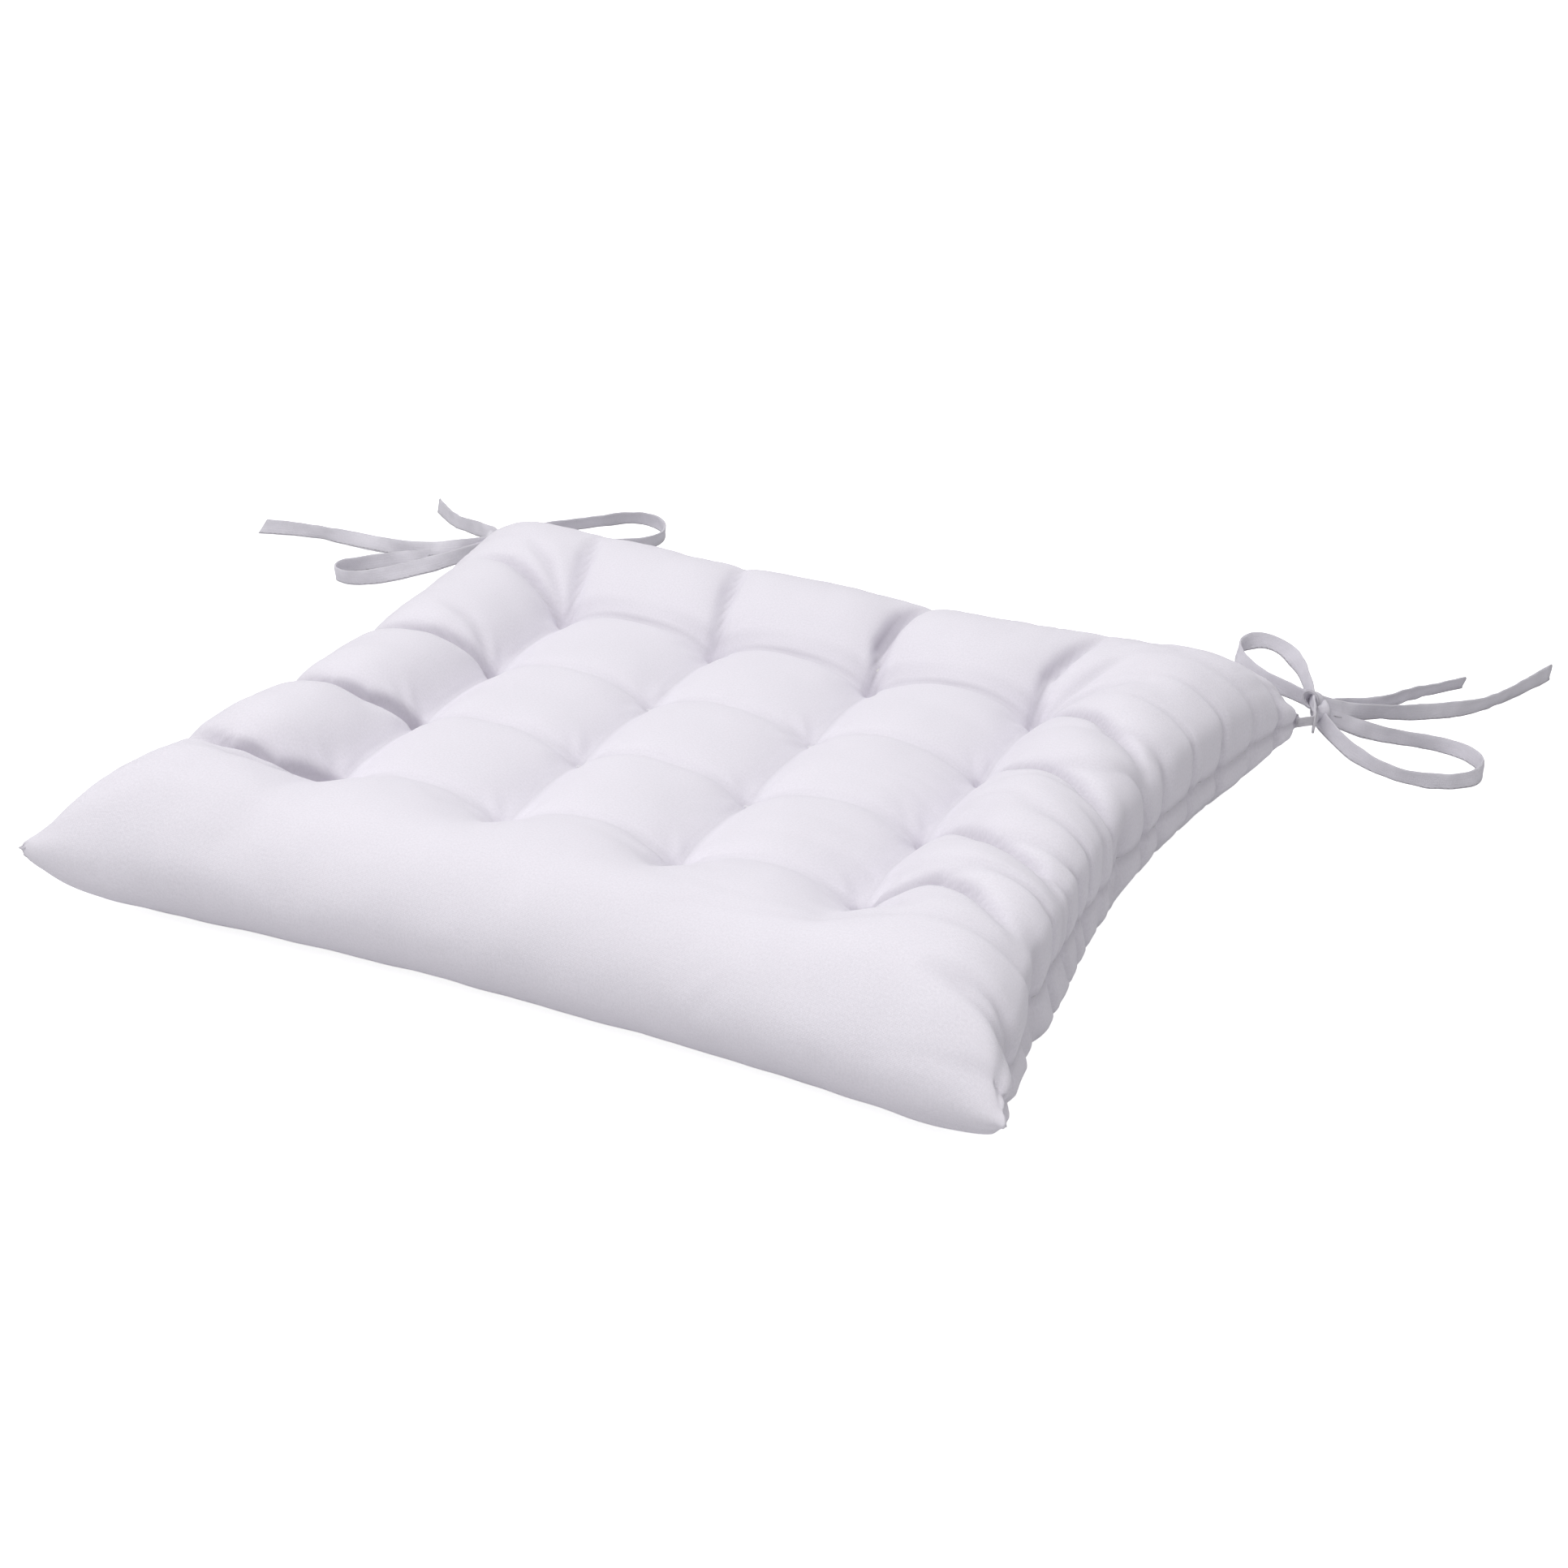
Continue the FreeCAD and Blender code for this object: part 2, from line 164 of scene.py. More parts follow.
# Lines of the ties, each from its post through the knot, round its loop, back through the knot and down its
# tail to the cut end
TIE_ROUTES = {
    "tie_right_upper": [
        (0.20325, 0.18325, 0.0295), (0.201, 0.191, 0.0295), (0.1975, 0.2, 0.0295),
        (0.193, 0.211, 0.031), (0.186, 0.222, 0.035), (0.1755, 0.2305, 0.0385), (0.164, 0.231, 0.04),
        (0.1565, 0.2225, 0.038), (0.161, 0.2125, 0.035), (0.1715, 0.207, 0.032), (0.184, 0.2045, 0.03),
        (0.197, 0.203, 0.0275), (0.2075, 0.208, 0.0235), (0.2145, 0.2195, 0.0195),
        (0.2215, 0.234, 0.0155), (0.231, 0.25, 0.011), (0.243, 0.268, 0.0075), (0.255, 0.287, 0.005),
        (0.264, 0.3075, 0.0046), (0.271, 0.328, 0.0046), (0.277, 0.346, 0.0046),
    ],
    "tie_right_lower": [
        (0.20325, 0.18325, 0.0245), (0.2018, 0.1915, 0.025), (0.2015, 0.2, 0.024),
        (0.206, 0.2075, 0.0195), (0.2165, 0.2145, 0.014), (0.228, 0.2235, 0.0095),
        (0.2395, 0.232, 0.0065), (0.252, 0.2365, 0.0048), (0.264, 0.2325, 0.0046),
        (0.2715, 0.222, 0.0046), (0.271, 0.2095, 0.0046), (0.2625, 0.1995, 0.0047),
        (0.249, 0.1935, 0.0052), (0.235, 0.1905, 0.0075), (0.221, 0.1905, 0.012),
        (0.2095, 0.193, 0.0185), (0.2015, 0.1975, 0.023), (0.1995, 0.205, 0.0235),
        (0.203, 0.2145, 0.022), (0.209, 0.225, 0.019), (0.2155, 0.238, 0.0155), (0.22, 0.256, 0.012),
        (0.225, 0.275, 0.009), (0.233, 0.295, 0.006), (0.243, 0.313, 0.0046),
    ],
    "tie_left_upper": [
        (-0.20325, 0.18325, 0.0295), (-0.2035, 0.191, 0.0295), (-0.202, 0.2, 0.029),
        (-0.195, 0.21, 0.03), (-0.184, 0.2195, 0.0315), (-0.172, 0.23, 0.0325),
        (-0.1625, 0.2425, 0.0325), (-0.152, 0.251, 0.032), (-0.1405, 0.2485, 0.031),
        (-0.135, 0.238, 0.03), (-0.138, 0.226, 0.029), (-0.149, 0.217, 0.0285), (-0.163, 0.21, 0.0285),
        (-0.178, 0.2045, 0.0285), (-0.193, 0.201, 0.028), (-0.206, 0.1975, 0.0265),
        (-0.218, 0.192, 0.024), (-0.2305, 0.191, 0.0205), (-0.2435, 0.196, 0.016),
        (-0.258, 0.203, 0.0115), (-0.273, 0.2085, 0.008), (-0.289, 0.2135, 0.0055),
        (-0.306, 0.216, 0.0046), (-0.322, 0.2155, 0.0046), (-0.337, 0.2125, 0.0046),
        (-0.348, 0.2085, 0.0046),
    ],
    "tie_left_lower": [
        (-0.20325, 0.18325, 0.0245), (-0.2045, 0.191, 0.025), (-0.208, 0.198, 0.025),
        (-0.216, 0.1995, 0.0225), (-0.2255, 0.196, 0.019), (-0.236, 0.193, 0.015),
        (-0.2485, 0.1945, 0.011), (-0.263, 0.194, 0.0075), (-0.2755, 0.189, 0.005),
        (-0.284, 0.1805, 0.0046), (-0.2815, 0.17, 0.0046), (-0.2705, 0.168, 0.0048),
        (-0.2575, 0.1745, 0.0065), (-0.244, 0.1805, 0.0105), (-0.23, 0.1835, 0.016),
        (-0.2175, 0.189, 0.021), (-0.2085, 0.198, 0.0245), (-0.2115, 0.209, 0.024),
        (-0.2215, 0.2185, 0.0215), (-0.2335, 0.229, 0.018), (-0.2475, 0.241, 0.0135),
        (-0.262, 0.2545, 0.009), (-0.275, 0.268, 0.006), (-0.2865, 0.28, 0.0046),
    ],
}

# Lean of each tie's width from upright, in degrees, at places along it from 0 at the post to 1 at the end
TIE_LEANS = {
    "tie_right_upper": [
        (0.0, 0), (0.12, 10), (0.22, 28), (0.30, 12), (0.40, -25), (0.52, 10), (0.62, -15), (0.72, 20),
        (0.80, -12), (0.90, 18), (1.0, -8),
    ],
    "tie_right_lower": [
        (0.0, 0), (0.15, -15), (0.24, 15), (0.33, -8), (0.42, 12), (0.52, -18), (0.62, 8), (0.72, 25),
        (0.80, -10), (0.90, 14), (1.0, 25),
    ],
    "tie_left_upper": [
        (0.0, 0), (0.12, 12), (0.25, 25), (0.36, -10), (0.48, 8), (0.60, -12), (0.70, 30), (0.78, -6),
        (0.84, 38), (0.92, -10), (1.0, 6),
    ],
    "tie_left_lower": [
        (0.0, 0), (0.14, -12), (0.26, 18), (0.36, -6), (0.46, 14), (0.56, -20), (0.66, 6), (0.78, 22),
        (0.88, -10), (1.0, 12),
    ],
}
TIE_ENDS = {"tie_right_upper": 0.35, "tie_right_lower": -0.3, "tie_left_upper": -0.6, "tie_left_lower": 0.3}

# Folded strip: places across its width and through its thickness, as shares of the half width and the half
# thickness, once round from the folded edge past the open edge
STRIP_SECTION = [
    (1.00, 0.0), (0.95, 0.60), (0.80, 0.95), (0.38, 0.80), (-0.38, 0.80), (-0.62, 0.74), (-0.80, 1.0),
    (-0.94, 0.85), (-0.99, 0.40), (-0.90, 0.0), (-0.99, -0.40), (-0.94, -0.85), (-0.80, -1.0),
    (-0.62, -0.74), (-0.38, -0.80), (0.38, -0.80), (0.80, -0.95), (0.95, -0.60),
]

TIE_BOW = 0.0009            # how far a tie's middle bows out of its plane
TIE_NARROWING = 0.22        # how much narrower a tie is where it is creased lengthwise
TIE_PINCH = 0.68            # and where it is sewn on
TIE_PINCH_LENGTH = 0.011    # from there to where that fades
# Strip wound round a knot by each tie of a bow: its name, its middle from the third point of the tie's line
# and its axis, both for the right bow, its half height, half depth and breadth, and its skew
KNOTS = {
    "lower": ("knot_band", (0.0, 0.0, 0.0015), (1.0, 0.25, 0.12), 0.0037, 0.0034, 0.0078, 0.0009),
    "upper": ("knot_turn", (0.0009, 0.0003, -0.0007), (0.35, 1.0, -0.45), 0.0036, 0.0036, 0.0066, 0.0007),
}
KNOT_STEPS = 36
SEAM_SINK = 0.0004          # how far the ends of a seam stitch lie in the groove
SEAM_END_MARGIN = 0.014     # from a corner tip to the first stitch
CAD_HALF_X, CAD_HALF_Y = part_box("cover")[1].xy
FILLING_DRAW = 0.03         # how much narrower than the cover the filling is at its rim
FINISHED = "finished_"      # starts the name of a finish, so that none is mistaken for a packed material
THREAD_PITCH = 0.00042      # of the weave
WEAVE_RELIEF = 0.00012
YARN_SCALE = 1150.0
TOPSTITCH_PITCH = 0.0028
TOPSTITCH_LINES = (0.345, 0.655)        # round a tie's section, near the open edge on both faces
TUFT_HALF_WIDTH = 0.0026    # of a tuft's bar tack
POST_STRANDS = 5            # of thread in a corner tack's post
TACK_STRANDS = 8            # and from the post to the corner
FLOOR_SIZE = 8.0
FLOOR_GLOW = 0.85
FLOOR_COLOUR = (0.70, 0.70, 0.71, 1)
# Soft lights: name, place, size, share of the key light's power, colour
LIGHTS = [
    ("key", (-0.48, -1.0, 2.2), 1.4, 1.0, (1.0, 0.99, 0.98)),
    ("back_rim", (-0.4, 1.6, 1.6), 1.4, 0.25, (0.98, 0.99, 1.0)),
]


def metres(label, text, value):
    return FloatProperty(name=label, description=text, default=value, unit="LENGTH")


def amount(label, text, value):
    return FloatProperty(name=label, description=text, default=value)


def degrees(label, text, value):
    return FloatProperty(name=label, description=text, default=math.radians(value), subtype="ANGLE")


def tint(label, text, value):
    return FloatVectorProperty(name=label, description=text, subtype="COLOR", default=value, min=0, max=1)


class SeatPadShape(bpy.types.PropertyGroup):
    """Heights and depths of the pad's surface."""

    crest: metres("Rim crest", "Height of the rim's crest", 0.0655)
    cell: metres("Cell height", "Height of the puffed cells between tufts", 0.0535)
    cross_crease: metres("Cross crease", "Depth of the fine creases that cross the columns", 0.0034)
    valley: metres("Valley height", "Height of the valleys between columns, midway between tufts", 0.0430)
    side_pull: metres("Side pull-in", "How far each side seam lies inside its tips", 0.031)
    front_pull: metres("Front pull-in", "How far the front fold lies inside its tips", 0.014)
    rear_pull: metres("Rear pull-in", "How far the rear seam lies inside its tips", 0.019)
    overhang: metres("Overhang", "How far the filled cloth stands out past a gathered seam", 0.0025)
    pucker: metres("Pucker depth", "Height of the small folds gathered into the seams", 0.0018)
    groove: metres("Seam groove", "Depth of the groove in which a seam lies", 0.0012)
    under_floor: metres("Underside", "Gap between the flattened underside and the floor", 0.0006)


class SeatPadFilling(bpy.types.PropertyGroup):
    """How hard the filling presses on the cloth."""

    pressure: amount("Pressure", "Pressure of the filling in the simulation", 60.0)
    mass: amount("Point mass", "Mass of one point of the cloth", 0.002)
    tension: amount("Tension", "Stiffness of stretched cloth", 30.0)
    compression: amount("Compression", "Stiffness of compressed cloth", 3.0)
    bending: amount("Bending", "Stiffness of bent cloth", 0.01)
    frames: IntProperty(name="Frames", description="Frames of simulation", default=14, min=2, max=60)
    cap: metres("Cap", "Furthest that the filling may move a point", 0.0045)
    loft_gap: metres("Cloth thickness", "Gap between the cover's face and the filling", 0.0026)


class SeatPadTies(bpy.types.PropertyGroup):
    """Sizes of the ties and of the threads."""

    width: metres("Tie width", "Width of a folded tie", 0.008)
    thickness: metres("Tie thickness", "Thickness of a folded tie", 0.0013)
    crumple: metres("Crumple", "Height of the small dents along a tie", 0.00055)
    thread: metres("Thread", "Diameter of the sewing thread", 0.0007)
    stitch: metres("Stitch", "Length of a seam stitch", 0.0042)
    stitch_pitch: metres("Stitch pitch", "From one seam stitch to the next", 0.006)


class SeatPadColours(bpy.types.PropertyGroup):
    """Colours of the pad's cloths and threads."""

    cover: tint("Cover", "Colour of the cover cloth", (0.852, 0.826, 0.898))
    # Painted shade: the cover's colour in its creases, seams, folds, row and column lines and round its
    # tufts, where shade falls; at 0.55 of it, the dark of the grain
    cover_shade_and_grain: tint("Cover, deep", "Colour in the cloth's hollows", (0.450, 0.425, 0.490))
    tie: tint("Ties", "Colour of the ties", (0.830, 0.808, 0.880))
    thread: tint("Thread", "Colour of the thread", (0.760, 0.740, 0.790))
    filling: tint("Filling", "Colour of the fibre filling", (0.86, 0.86, 0.84))


class SeatPadStage(bpy.types.PropertyGroup):
    """Camera and light."""

    azimuth: degrees("Azimuth", "Camera's turn round the pad, from the front", 23.2)
    elevation: degrees("Elevation", "Camera's height above the horizon", 25.3)
    roll: degrees("Roll", "Camera's roll", -2.5)
    distance: metres("Distance", "Camera's distance", 1.113)
    aim: FloatVectorProperty(name="Aim", description="Point that the camera looks at",
                             default=(0.0396, -0.0088, 0.0390), subtype="TRANSLATION")
    lens: amount("Lens", "Focal length in millimetres", 65.27)
    key: amount("Key light", "Power of the large light in watts", 36.8)
    fill: amount("Fill", "Strength of the room's even light", 0.445)


def settings(group):
    return getattr(bpy.context.scene, "seat_pad_" + group)


# ---------------------------------------------------------------- objects and meshes

def deselect():
    for thing in bpy.context.selected_objects:
        thing.select_set(False)


def make_active(thing):
    deselect()
    thing.select_set(True)
    bpy.context.view_layer.objects.active = thing


def get_points(mesh):
    flat = np.empty(len(mesh.vertices) * 3)
    mesh.vertices.foreach_get("co", flat)
    return flat.reshape(-1, 3)


def set_points(mesh, points):
    mesh.vertices.foreach_set("co", np.ascontiguousarray(points, dtype=float).ravel())
    mesh.update()


def get_normals(mesh):
    flat = np.empty(len(mesh.vertices) * 3)
    mesh.vertex_normals.foreach_get("vector", flat)
    return flat.reshape(-1, 3)


def add_attribute(mesh, name, values):
    kind = "FLOAT_VECTOR" if values.ndim == 2 else "FLOAT"
    attribute = mesh.attributes.new(name, kind, "POINT")
    attribute.data.foreach_set("vector" if values.ndim == 2 else "value",
                               np.ascontiguousarray(values, dtype=float).ravel())


def read_cut(mesh):
    """Place of each point in the flat cloth, and its side: 1 on top, -1 underneath, 0 on the rim."""
    flat = np.empty(len(mesh.vertices) * 3)
    mesh.attributes["cut"].data.foreach_get("vector", flat)
    return flat.reshape(-1, 3)


def join(things, name):
    make_active(things[0])
    for thing in things:
        thing.select_set(True)
    bpy.ops.object.join()
    whole = bpy.context.active_object
    whole.name = name
    whole.data.name = name
    deselect()
    return whole


def noise_at(places, scale, seed):
    """Smooth noise from -1 to 1 at each row of places, with bumps about scale apart."""
    shift = Vector((seed, 1.7 * seed, 0.3 * seed))
    return np.array([noise.noise(Vector(place) / scale + shift) for place in places.tolist()])


def flat_noise(first, second, scale, seed):
    """The same noise, at places given by two rows of numbers."""
    return noise_at(np.stack([first, second, 0 * first], axis=1), scale, seed)


def bell(distance, breadth):
    return np.exp(-(distance / breadth) ** 2)


def lengths_along(line):
    """Length along a line to each of its points."""
    return np.concatenate([[0], np.cumsum(np.linalg.norm(np.diff(line, axis=0), axis=1))])


# ---------------------------------------------------------------- shape of the cover

def tuft_places():
    """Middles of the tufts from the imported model, as places[row][column]."""
    places = []
    for row in range(ROWS):
        line = []
        for column in range(COLUMNS):
            low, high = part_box(f"tuft_thread_{row + 1}{column + 1}")
            line.append((low + high) / 2)
        places.append(line)
    return places


def tuft_levels():
    low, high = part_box("tuft_thread_11")
    return low.z, high.z


def cut_panels():
    """Two flat panels of cloth, one on the other, sewn together round their rims."""
    across = 3 * CUT_PITCH_U + 2 * CUT_SIDE
    along = 3 * CUT_PITCH_V + CUT_FRONT + CUT_REAR
    deselect()
    bpy.ops.mesh.primitive_grid_add(x_subdivisions=round(across / CUT_CELL),
                                    y_subdivisions=round(along / CUT_CELL), size=1)
    cover = bpy.context.active_object
    cover.name = cover.data.name = "cover_cloth"
    bpy.ops.object.mode_set(mode="EDIT")
    bpy.ops.mesh.select_all(action="SELECT")
    bpy.ops.transform.resize(value=(across, along, 1))
    bpy.ops.transform.translate(value=(0, (CUT_REAR - CUT_FRONT) / 2, 0))
    bpy.ops.mesh.duplicate()
    bpy.ops.mesh.flip_normals()
    bpy.ops.mesh.select_all(action="DESELECT")
    bpy.ops.mesh.select_non_manifold()
    bpy.ops.mesh.remove_doubles(threshold=CUT_CELL / 100)
    bpy.ops.object.mode_set(mode="OBJECT")
    mesh = cover.data
    side = np.zeros(len(mesh.vertices))
    for face in mesh.polygons:
        for corner in face.vertices:
            side[corner] += face.normal.z
    return cover, np.sign(np.round(side))


def fall_angle(share, rim):
    return np.clip((share - rim[0]) / (1 - rim[0]), 0, 1) * math.pi / 2


def fall(share, rim, power):
    """Height left on the way from the crest to the rim; a lower power makes a fuller bulge."""
    return np.clip(np.cos(fall_angle(share, rim)), 0, 1) ** power


def fall_all(rims, power):
    """Height left over all four rims, each a share of the way over it and its shape."""
    height = 1.0
    for share, rim in rims:
        height = height * fall(share, rim, power)
    return height


def reach(share, rim):
    """Share of the rim's width covered on the way from the outer tufts to the rim."""
    inner = rim[1] * np.clip(share / rim[0], 0, 1)
    return inner + (1 - rim[1]) * np.sin(fall_angle(share, rim))


def line_up(flat, cut_pitch, cuts, lines, edges, rims):
    """Place in plan of flat cloth, and its share of the way over the low and the high rim."""
    block = 1.5 * cut_pitch
    inside = (lines[0] + lines[1]) / 2 + flat / block * (lines[1] - lines[0]) / 2
    low = np.clip((-flat - block) / cuts[0], 0, 1)
    high = np.clip((flat - block) / cuts[1], 0, 1)
    place = np.where(high > 0, lines[1] + (edges[1] - lines[1]) * reach(high, rims[1]), inside)
    return np.where(low > 0, lines[0] + (edges[0] - lines[0]) * reach(low, rims[0]), place), low, high


def from_line(flat, cut_pitch):
    """Distance to the nearest line of tufts in the flat cloth, and its share of half a cell."""
    place = np.clip(flat / cut_pitch + 1.5, 0, 3)
    away = np.abs(place - np.round(place))
    return away * cut_pitch, 2 * away


def crease_depth(plan, tufts):
    """The rim's creases at each place in plan: depth of their broad hollows and of their sharp lines, and
    the painted shade on their rear walls."""
    hollow, line_depth, shade = np.zeros((3, len(plan)))
    for row, column, steps, deep, broad in RIM_CREASES:
        start = np.array(tufts[row][column][:2])
        line = np.array([start] + [start + np.array(step) for step in steps])
        length = lengths_along(line)
        nearest = np.full(len(plan), np.inf)
        along, behind = np.zeros((2, len(plan)))
        for a, b, gone, span in zip(line[:-1], line[1:], length[:-1], np.diff(length)):
            share = np.clip(((plan - a) @ (b - a)) / span ** 2, 0, 1)
            off = plan - a - share[:, None] * (b - a)
            distance = np.linalg.norm(off, axis=1)
            better = distance < nearest
            nearest[better] = distance[better]
            behind[better] = (off @ REARWARDS)[better]
            along[better] = ((gone + share * span) / length[-1])[better]
        spread = broad * (0.6 + 0.9 * along)
        cut = 0.62 * np.exp(-nearest / spread) + 0.38 * bell(nearest, 3.2 * spread)
        ending = np.clip(1.15 - along ** 3, 0, 1)
        starting = np.clip(0.35 + 2.2 * along, 0, 1)
        hollow = np.maximum(hollow, deep * cut * (ending * starting))
        sharp = bell(nearest, SHARP_CREASE * (0.9 + 0.4 * along))
        line_depth = np.maximum(line_depth, SHARP_SHARE * deep * sharp * ending)
        # Painted shade on the crease's rear wall, where shade falls in the narrow crease
        rear = np.clip(behind / np.maximum(nearest, 1e-6), 0, 1)
        wall = bell(np.clip(nearest - WALL_SHADE * deep * rear, 0, None), WALL_EDGE + WALL_EDGE_REAR * rear)
        strength = SHADES["crease"] * np.clip(deep / DEEP_CREASE, 0, 1)
        shade = np.maximum(shade, strength * wall * ending)
    return hollow, line_depth, shade


def pad_surface(flat, side, tufts):
    """Where the filled pad holds each point of the flat cloth, before the filling presses it out."""
    shape = settings("shape")
    u, v = flat[:, 0], flat[:, 1]
    low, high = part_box("cover")
    lean_u = np.clip(np.abs(u) / (1.5 * CUT_PITCH_U + CUT_SIDE), 0, 1)
    lean_v = np.clip(np.abs(v) / (1.5 * CUT_PITCH_V + CUT_REAR), 0, 1)
    side_edge = CAD_HALF_X - shape.side_pull * (1 - lean_v ** PULL_POWER)
    front_edge = CAD_HALF_Y - shape.front_pull * (1 - lean_u ** PULL_POWER)
    rear_edge = CAD_HALF_Y - shape.rear_pull * (1 - lean_u ** PULL_POWER)
    x, left, right = line_up(u, CUT_PITCH_U, (CUT_SIDE, CUT_SIDE), (tufts[0][0].x, tufts[0][3].x),
                             (-side_edge, side_edge), (SIDE_RIM, RIGHT_RIM))
    y, front, rear = line_up(v, CUT_PITCH_V, (CUT_FRONT, CUT_REAR), (tufts[0][0].y, tufts[3][0].y),
                             (-front_edge, rear_edge), (FRONT_RIM, SIDE_RIM))
    # Tip heights: the right front corner hangs low, the left front one stands up a little
    tip = (lean_u ** 5) * (lean_v ** 5)
    front_tip = np.where(x > 0, RIGHT_TIP_RISE, LEFT_TIP_RISE)
    seam = (low.z + high.z) / 2 - SEAM_DROP + tip * np.where(y < 0, front_tip, 0.0)
    seam = seam - FRONT_FOLD_DROP * np.clip(2 * front, 0, 1) * (1 - lean_u ** 4)

    bottom_tuft, top_tuft = tuft_levels()
    column_share = from_line(u, CUT_PITCH_U)[1]
    from_row = from_line(v, CUT_PITCH_V)[0]
    ahead = np.clip(-v - 1.5 * CUT_PITCH_V, 0, None)     # in front of the first row
    puff = 1 - (1 - column_share) ** CELL_STEEPNESS
    row_drop = np.exp(-(from_row + ahead) / ROW_REACH)
    row_drop *= np.where(v < -1.45 * CUT_PITCH_V, FRONT_ROW_SHARE, 1.0)
    dimple = np.exp(-from_row / DIMPLE_REACH - ahead / DIMPLE_REACH_AHEAD)
    floor_of_valley = shape.valley + (top_tuft - TUFT_SINK - shape.valley) * dimple
    ridge = shape.cell - shape.cross_crease * row_drop
    block = floor_of_valley + (ridge - floor_of_valley) * puff
    to_side = left / SIDE_RIM[0] + right / RIGHT_RIM[0]
    to_front = front / FRONT_RIM[0]
    to_crest = np.sqrt(to_side ** 2 + to_front ** 2 + (rear / SIDE_RIM[0]) ** 2)
    frontal = to_front / np.maximum(to_front + to_side, 1e-6)
    steep = SIDE_RIM[2] + (FRONT_RIM[2] - SIDE_RIM[2]) * frontal
    climb = 1 - (1 - np.clip(to_crest, 0, 1)) ** steep
    crest = shape.crest - FRONT_CREST_DROP * frontal
    level = block + (crest - block) * climb

    under_valley = UNDER_VALLEY + (bottom_tuft - UNDER_VALLEY) * np.exp(-from_row / UNDER_DIMPLE_REACH)
    under_ridge = shape.under_floor + UNDER_ROW_RISE * np.exp(-from_row / UNDER_ROW_REACH)
    under_block = under_valley + (under_ridge - under_valley) * puff ** 0.6
    under_level = under_block + (shape.under_floor - under_block) * np.clip(1.6 * to_crest, 0, 1)

    rims = ((left, SIDE_RIM), (right, RIGHT_RIM), (rear, SIDE_RIM), (front, FRONT_RIM))
    fullness = fall_all(rims, UPPER_BULGE)
    under_fullness = fall_all(rims, UNDER_BULGE)
    z = np.where(side > 0, seam + (level - seam) * fullness, seam - (seam - under_level) * under_fullness)

    # The cloth stands out past the gathered seams
    bulge_side = shape.overhang * (RIGHT_OVERHANG * np.sin(2 * fall_angle(right, RIGHT_RIM)) ** 2
                                   - np.sin(2 * fall_angle(left, SIDE_RIM)) ** 2)
    lower = UNDER_OVERHANG + LOW_BULGE * bell(y - LOW_BULGE_Y, LOW_BULGE_REACH) * (x > 0)
    bulge_side = np.where(side < 0, lower, 1.0) * bulge_side
    bulge_rear = shape.overhang * np.sin(2 * fall_angle(rear, SIDE_RIM)) ** 2
    x = x + bulge_side * (1 - tip)
    y = y + bulge_rear * (1 - tip)

    plan = np.stack([x, y], axis=1)
    broad = crease_depth(plan, tufts)[0]
    crease = broad * np.clip(1.5 * to_crest, 0, 1) * np.sqrt(np.clip(fullness, 0, 1))
    waves = flat_noise(x, y, WAVE_SPACING, 4.2) * WAVE_HEIGHT * fullness
    z = np.where(side > 0, z - crease + waves, z)
    return np.stack([x, y, np.maximum(z, shape.under_floor)], axis=1)


def fill_by_simulation(cover, flat, held):
    """Presses the cloth out with the filling's pressure, from its flat cut, held at its tufts and tips."""
    filling = settings("filling")
    start = get_points(cover.data).copy()
    cover.shape_key_add(name="Basis")
    cut = cover.shape_key_add(name="cut")
    cut.data.foreach_set("co", np.ascontiguousarray(flat).ravel())
    cover.active_shape_key_index = 0
    cover.vertex_groups.new(name="held").add(held, 1.0, "REPLACE")

    deselect()
    bpy.ops.mesh.primitive_plane_add(size=2, location=(0, 0, -0.001))
    floor = bpy.context.active_object
    floor.modifiers.new("Floor", "COLLISION")
    floor.collision.thickness_outer = 0.001
    floor.collision.cloth_friction = 5

    cloth = cover.modifiers.new("Cloth", "CLOTH")
    rules = cloth.settings
    rules.quality = 6
    rules.mass = filling.mass
    rules.tension_stiffness = filling.tension
    rules.compression_stiffness = filling.compression
    rules.shear_stiffness = filling.compression
    rules.bending_stiffness = filling.bending
    rules.tension_damping = rules.compression_damping = rules.shear_damping = 1.0
    rules.bending_damping = 0.5
    rules.air_damping = 1.0
    rules.vertex_group_mass = "held"
    rules.use_pressure = True
    rules.uniform_pressure_force = filling.pressure
    rules.rest_shape_key = cut
    rules.effector_weights.gravity = 0
    cloth.collision_settings.use_collision = True
    cloth.collision_settings.distance_min = 0.001
    cloth.collision_settings.use_self_collision = False
    cloth.point_cache.frame_start = 1
    cloth.point_cache.frame_end = filling.frames
    for number in range(1, filling.frames + 1):
        bpy.context.scene.frame_set(number)
    pressed = get_points(cover.evaluated_get(bpy.context.evaluated_depsgraph_get()).data)

    cover.modifiers.remove(cloth)
    make_active(cover)
    bpy.ops.object.shape_key_remove(all=True)
    bpy.data.objects.remove(floor, do_unlink=True)
    bpy.context.scene.frame_set(1)
    move = pressed - start
    length = np.maximum(np.linalg.norm(move, axis=1), 1e-9)
    move *= np.minimum(1, filling.cap / length)[:, None]
    set_points(cover.data, start + move)


def subdivide_once(piece):
    make_active(piece)
    finer = piece.modifiers.new("Finer", "SUBSURF")
    finer.levels = finer.render_levels = 1
    finer.uv_smooth = "NONE"
    bpy.ops.object.modifier_apply(modifier=finer.name)
    deselect()


def rim_distances(u, v):
    """Distance in the flat cloth from the left, right, front and rear rims."""
    half_u = 1.5 * CUT_PITCH_U + CUT_SIDE
    return (u + half_u, half_u - u, v + 1.5 * CUT_PITCH_V + CUT_FRONT,
            1.5 * CUT_PITCH_V + CUT_REAR - v)


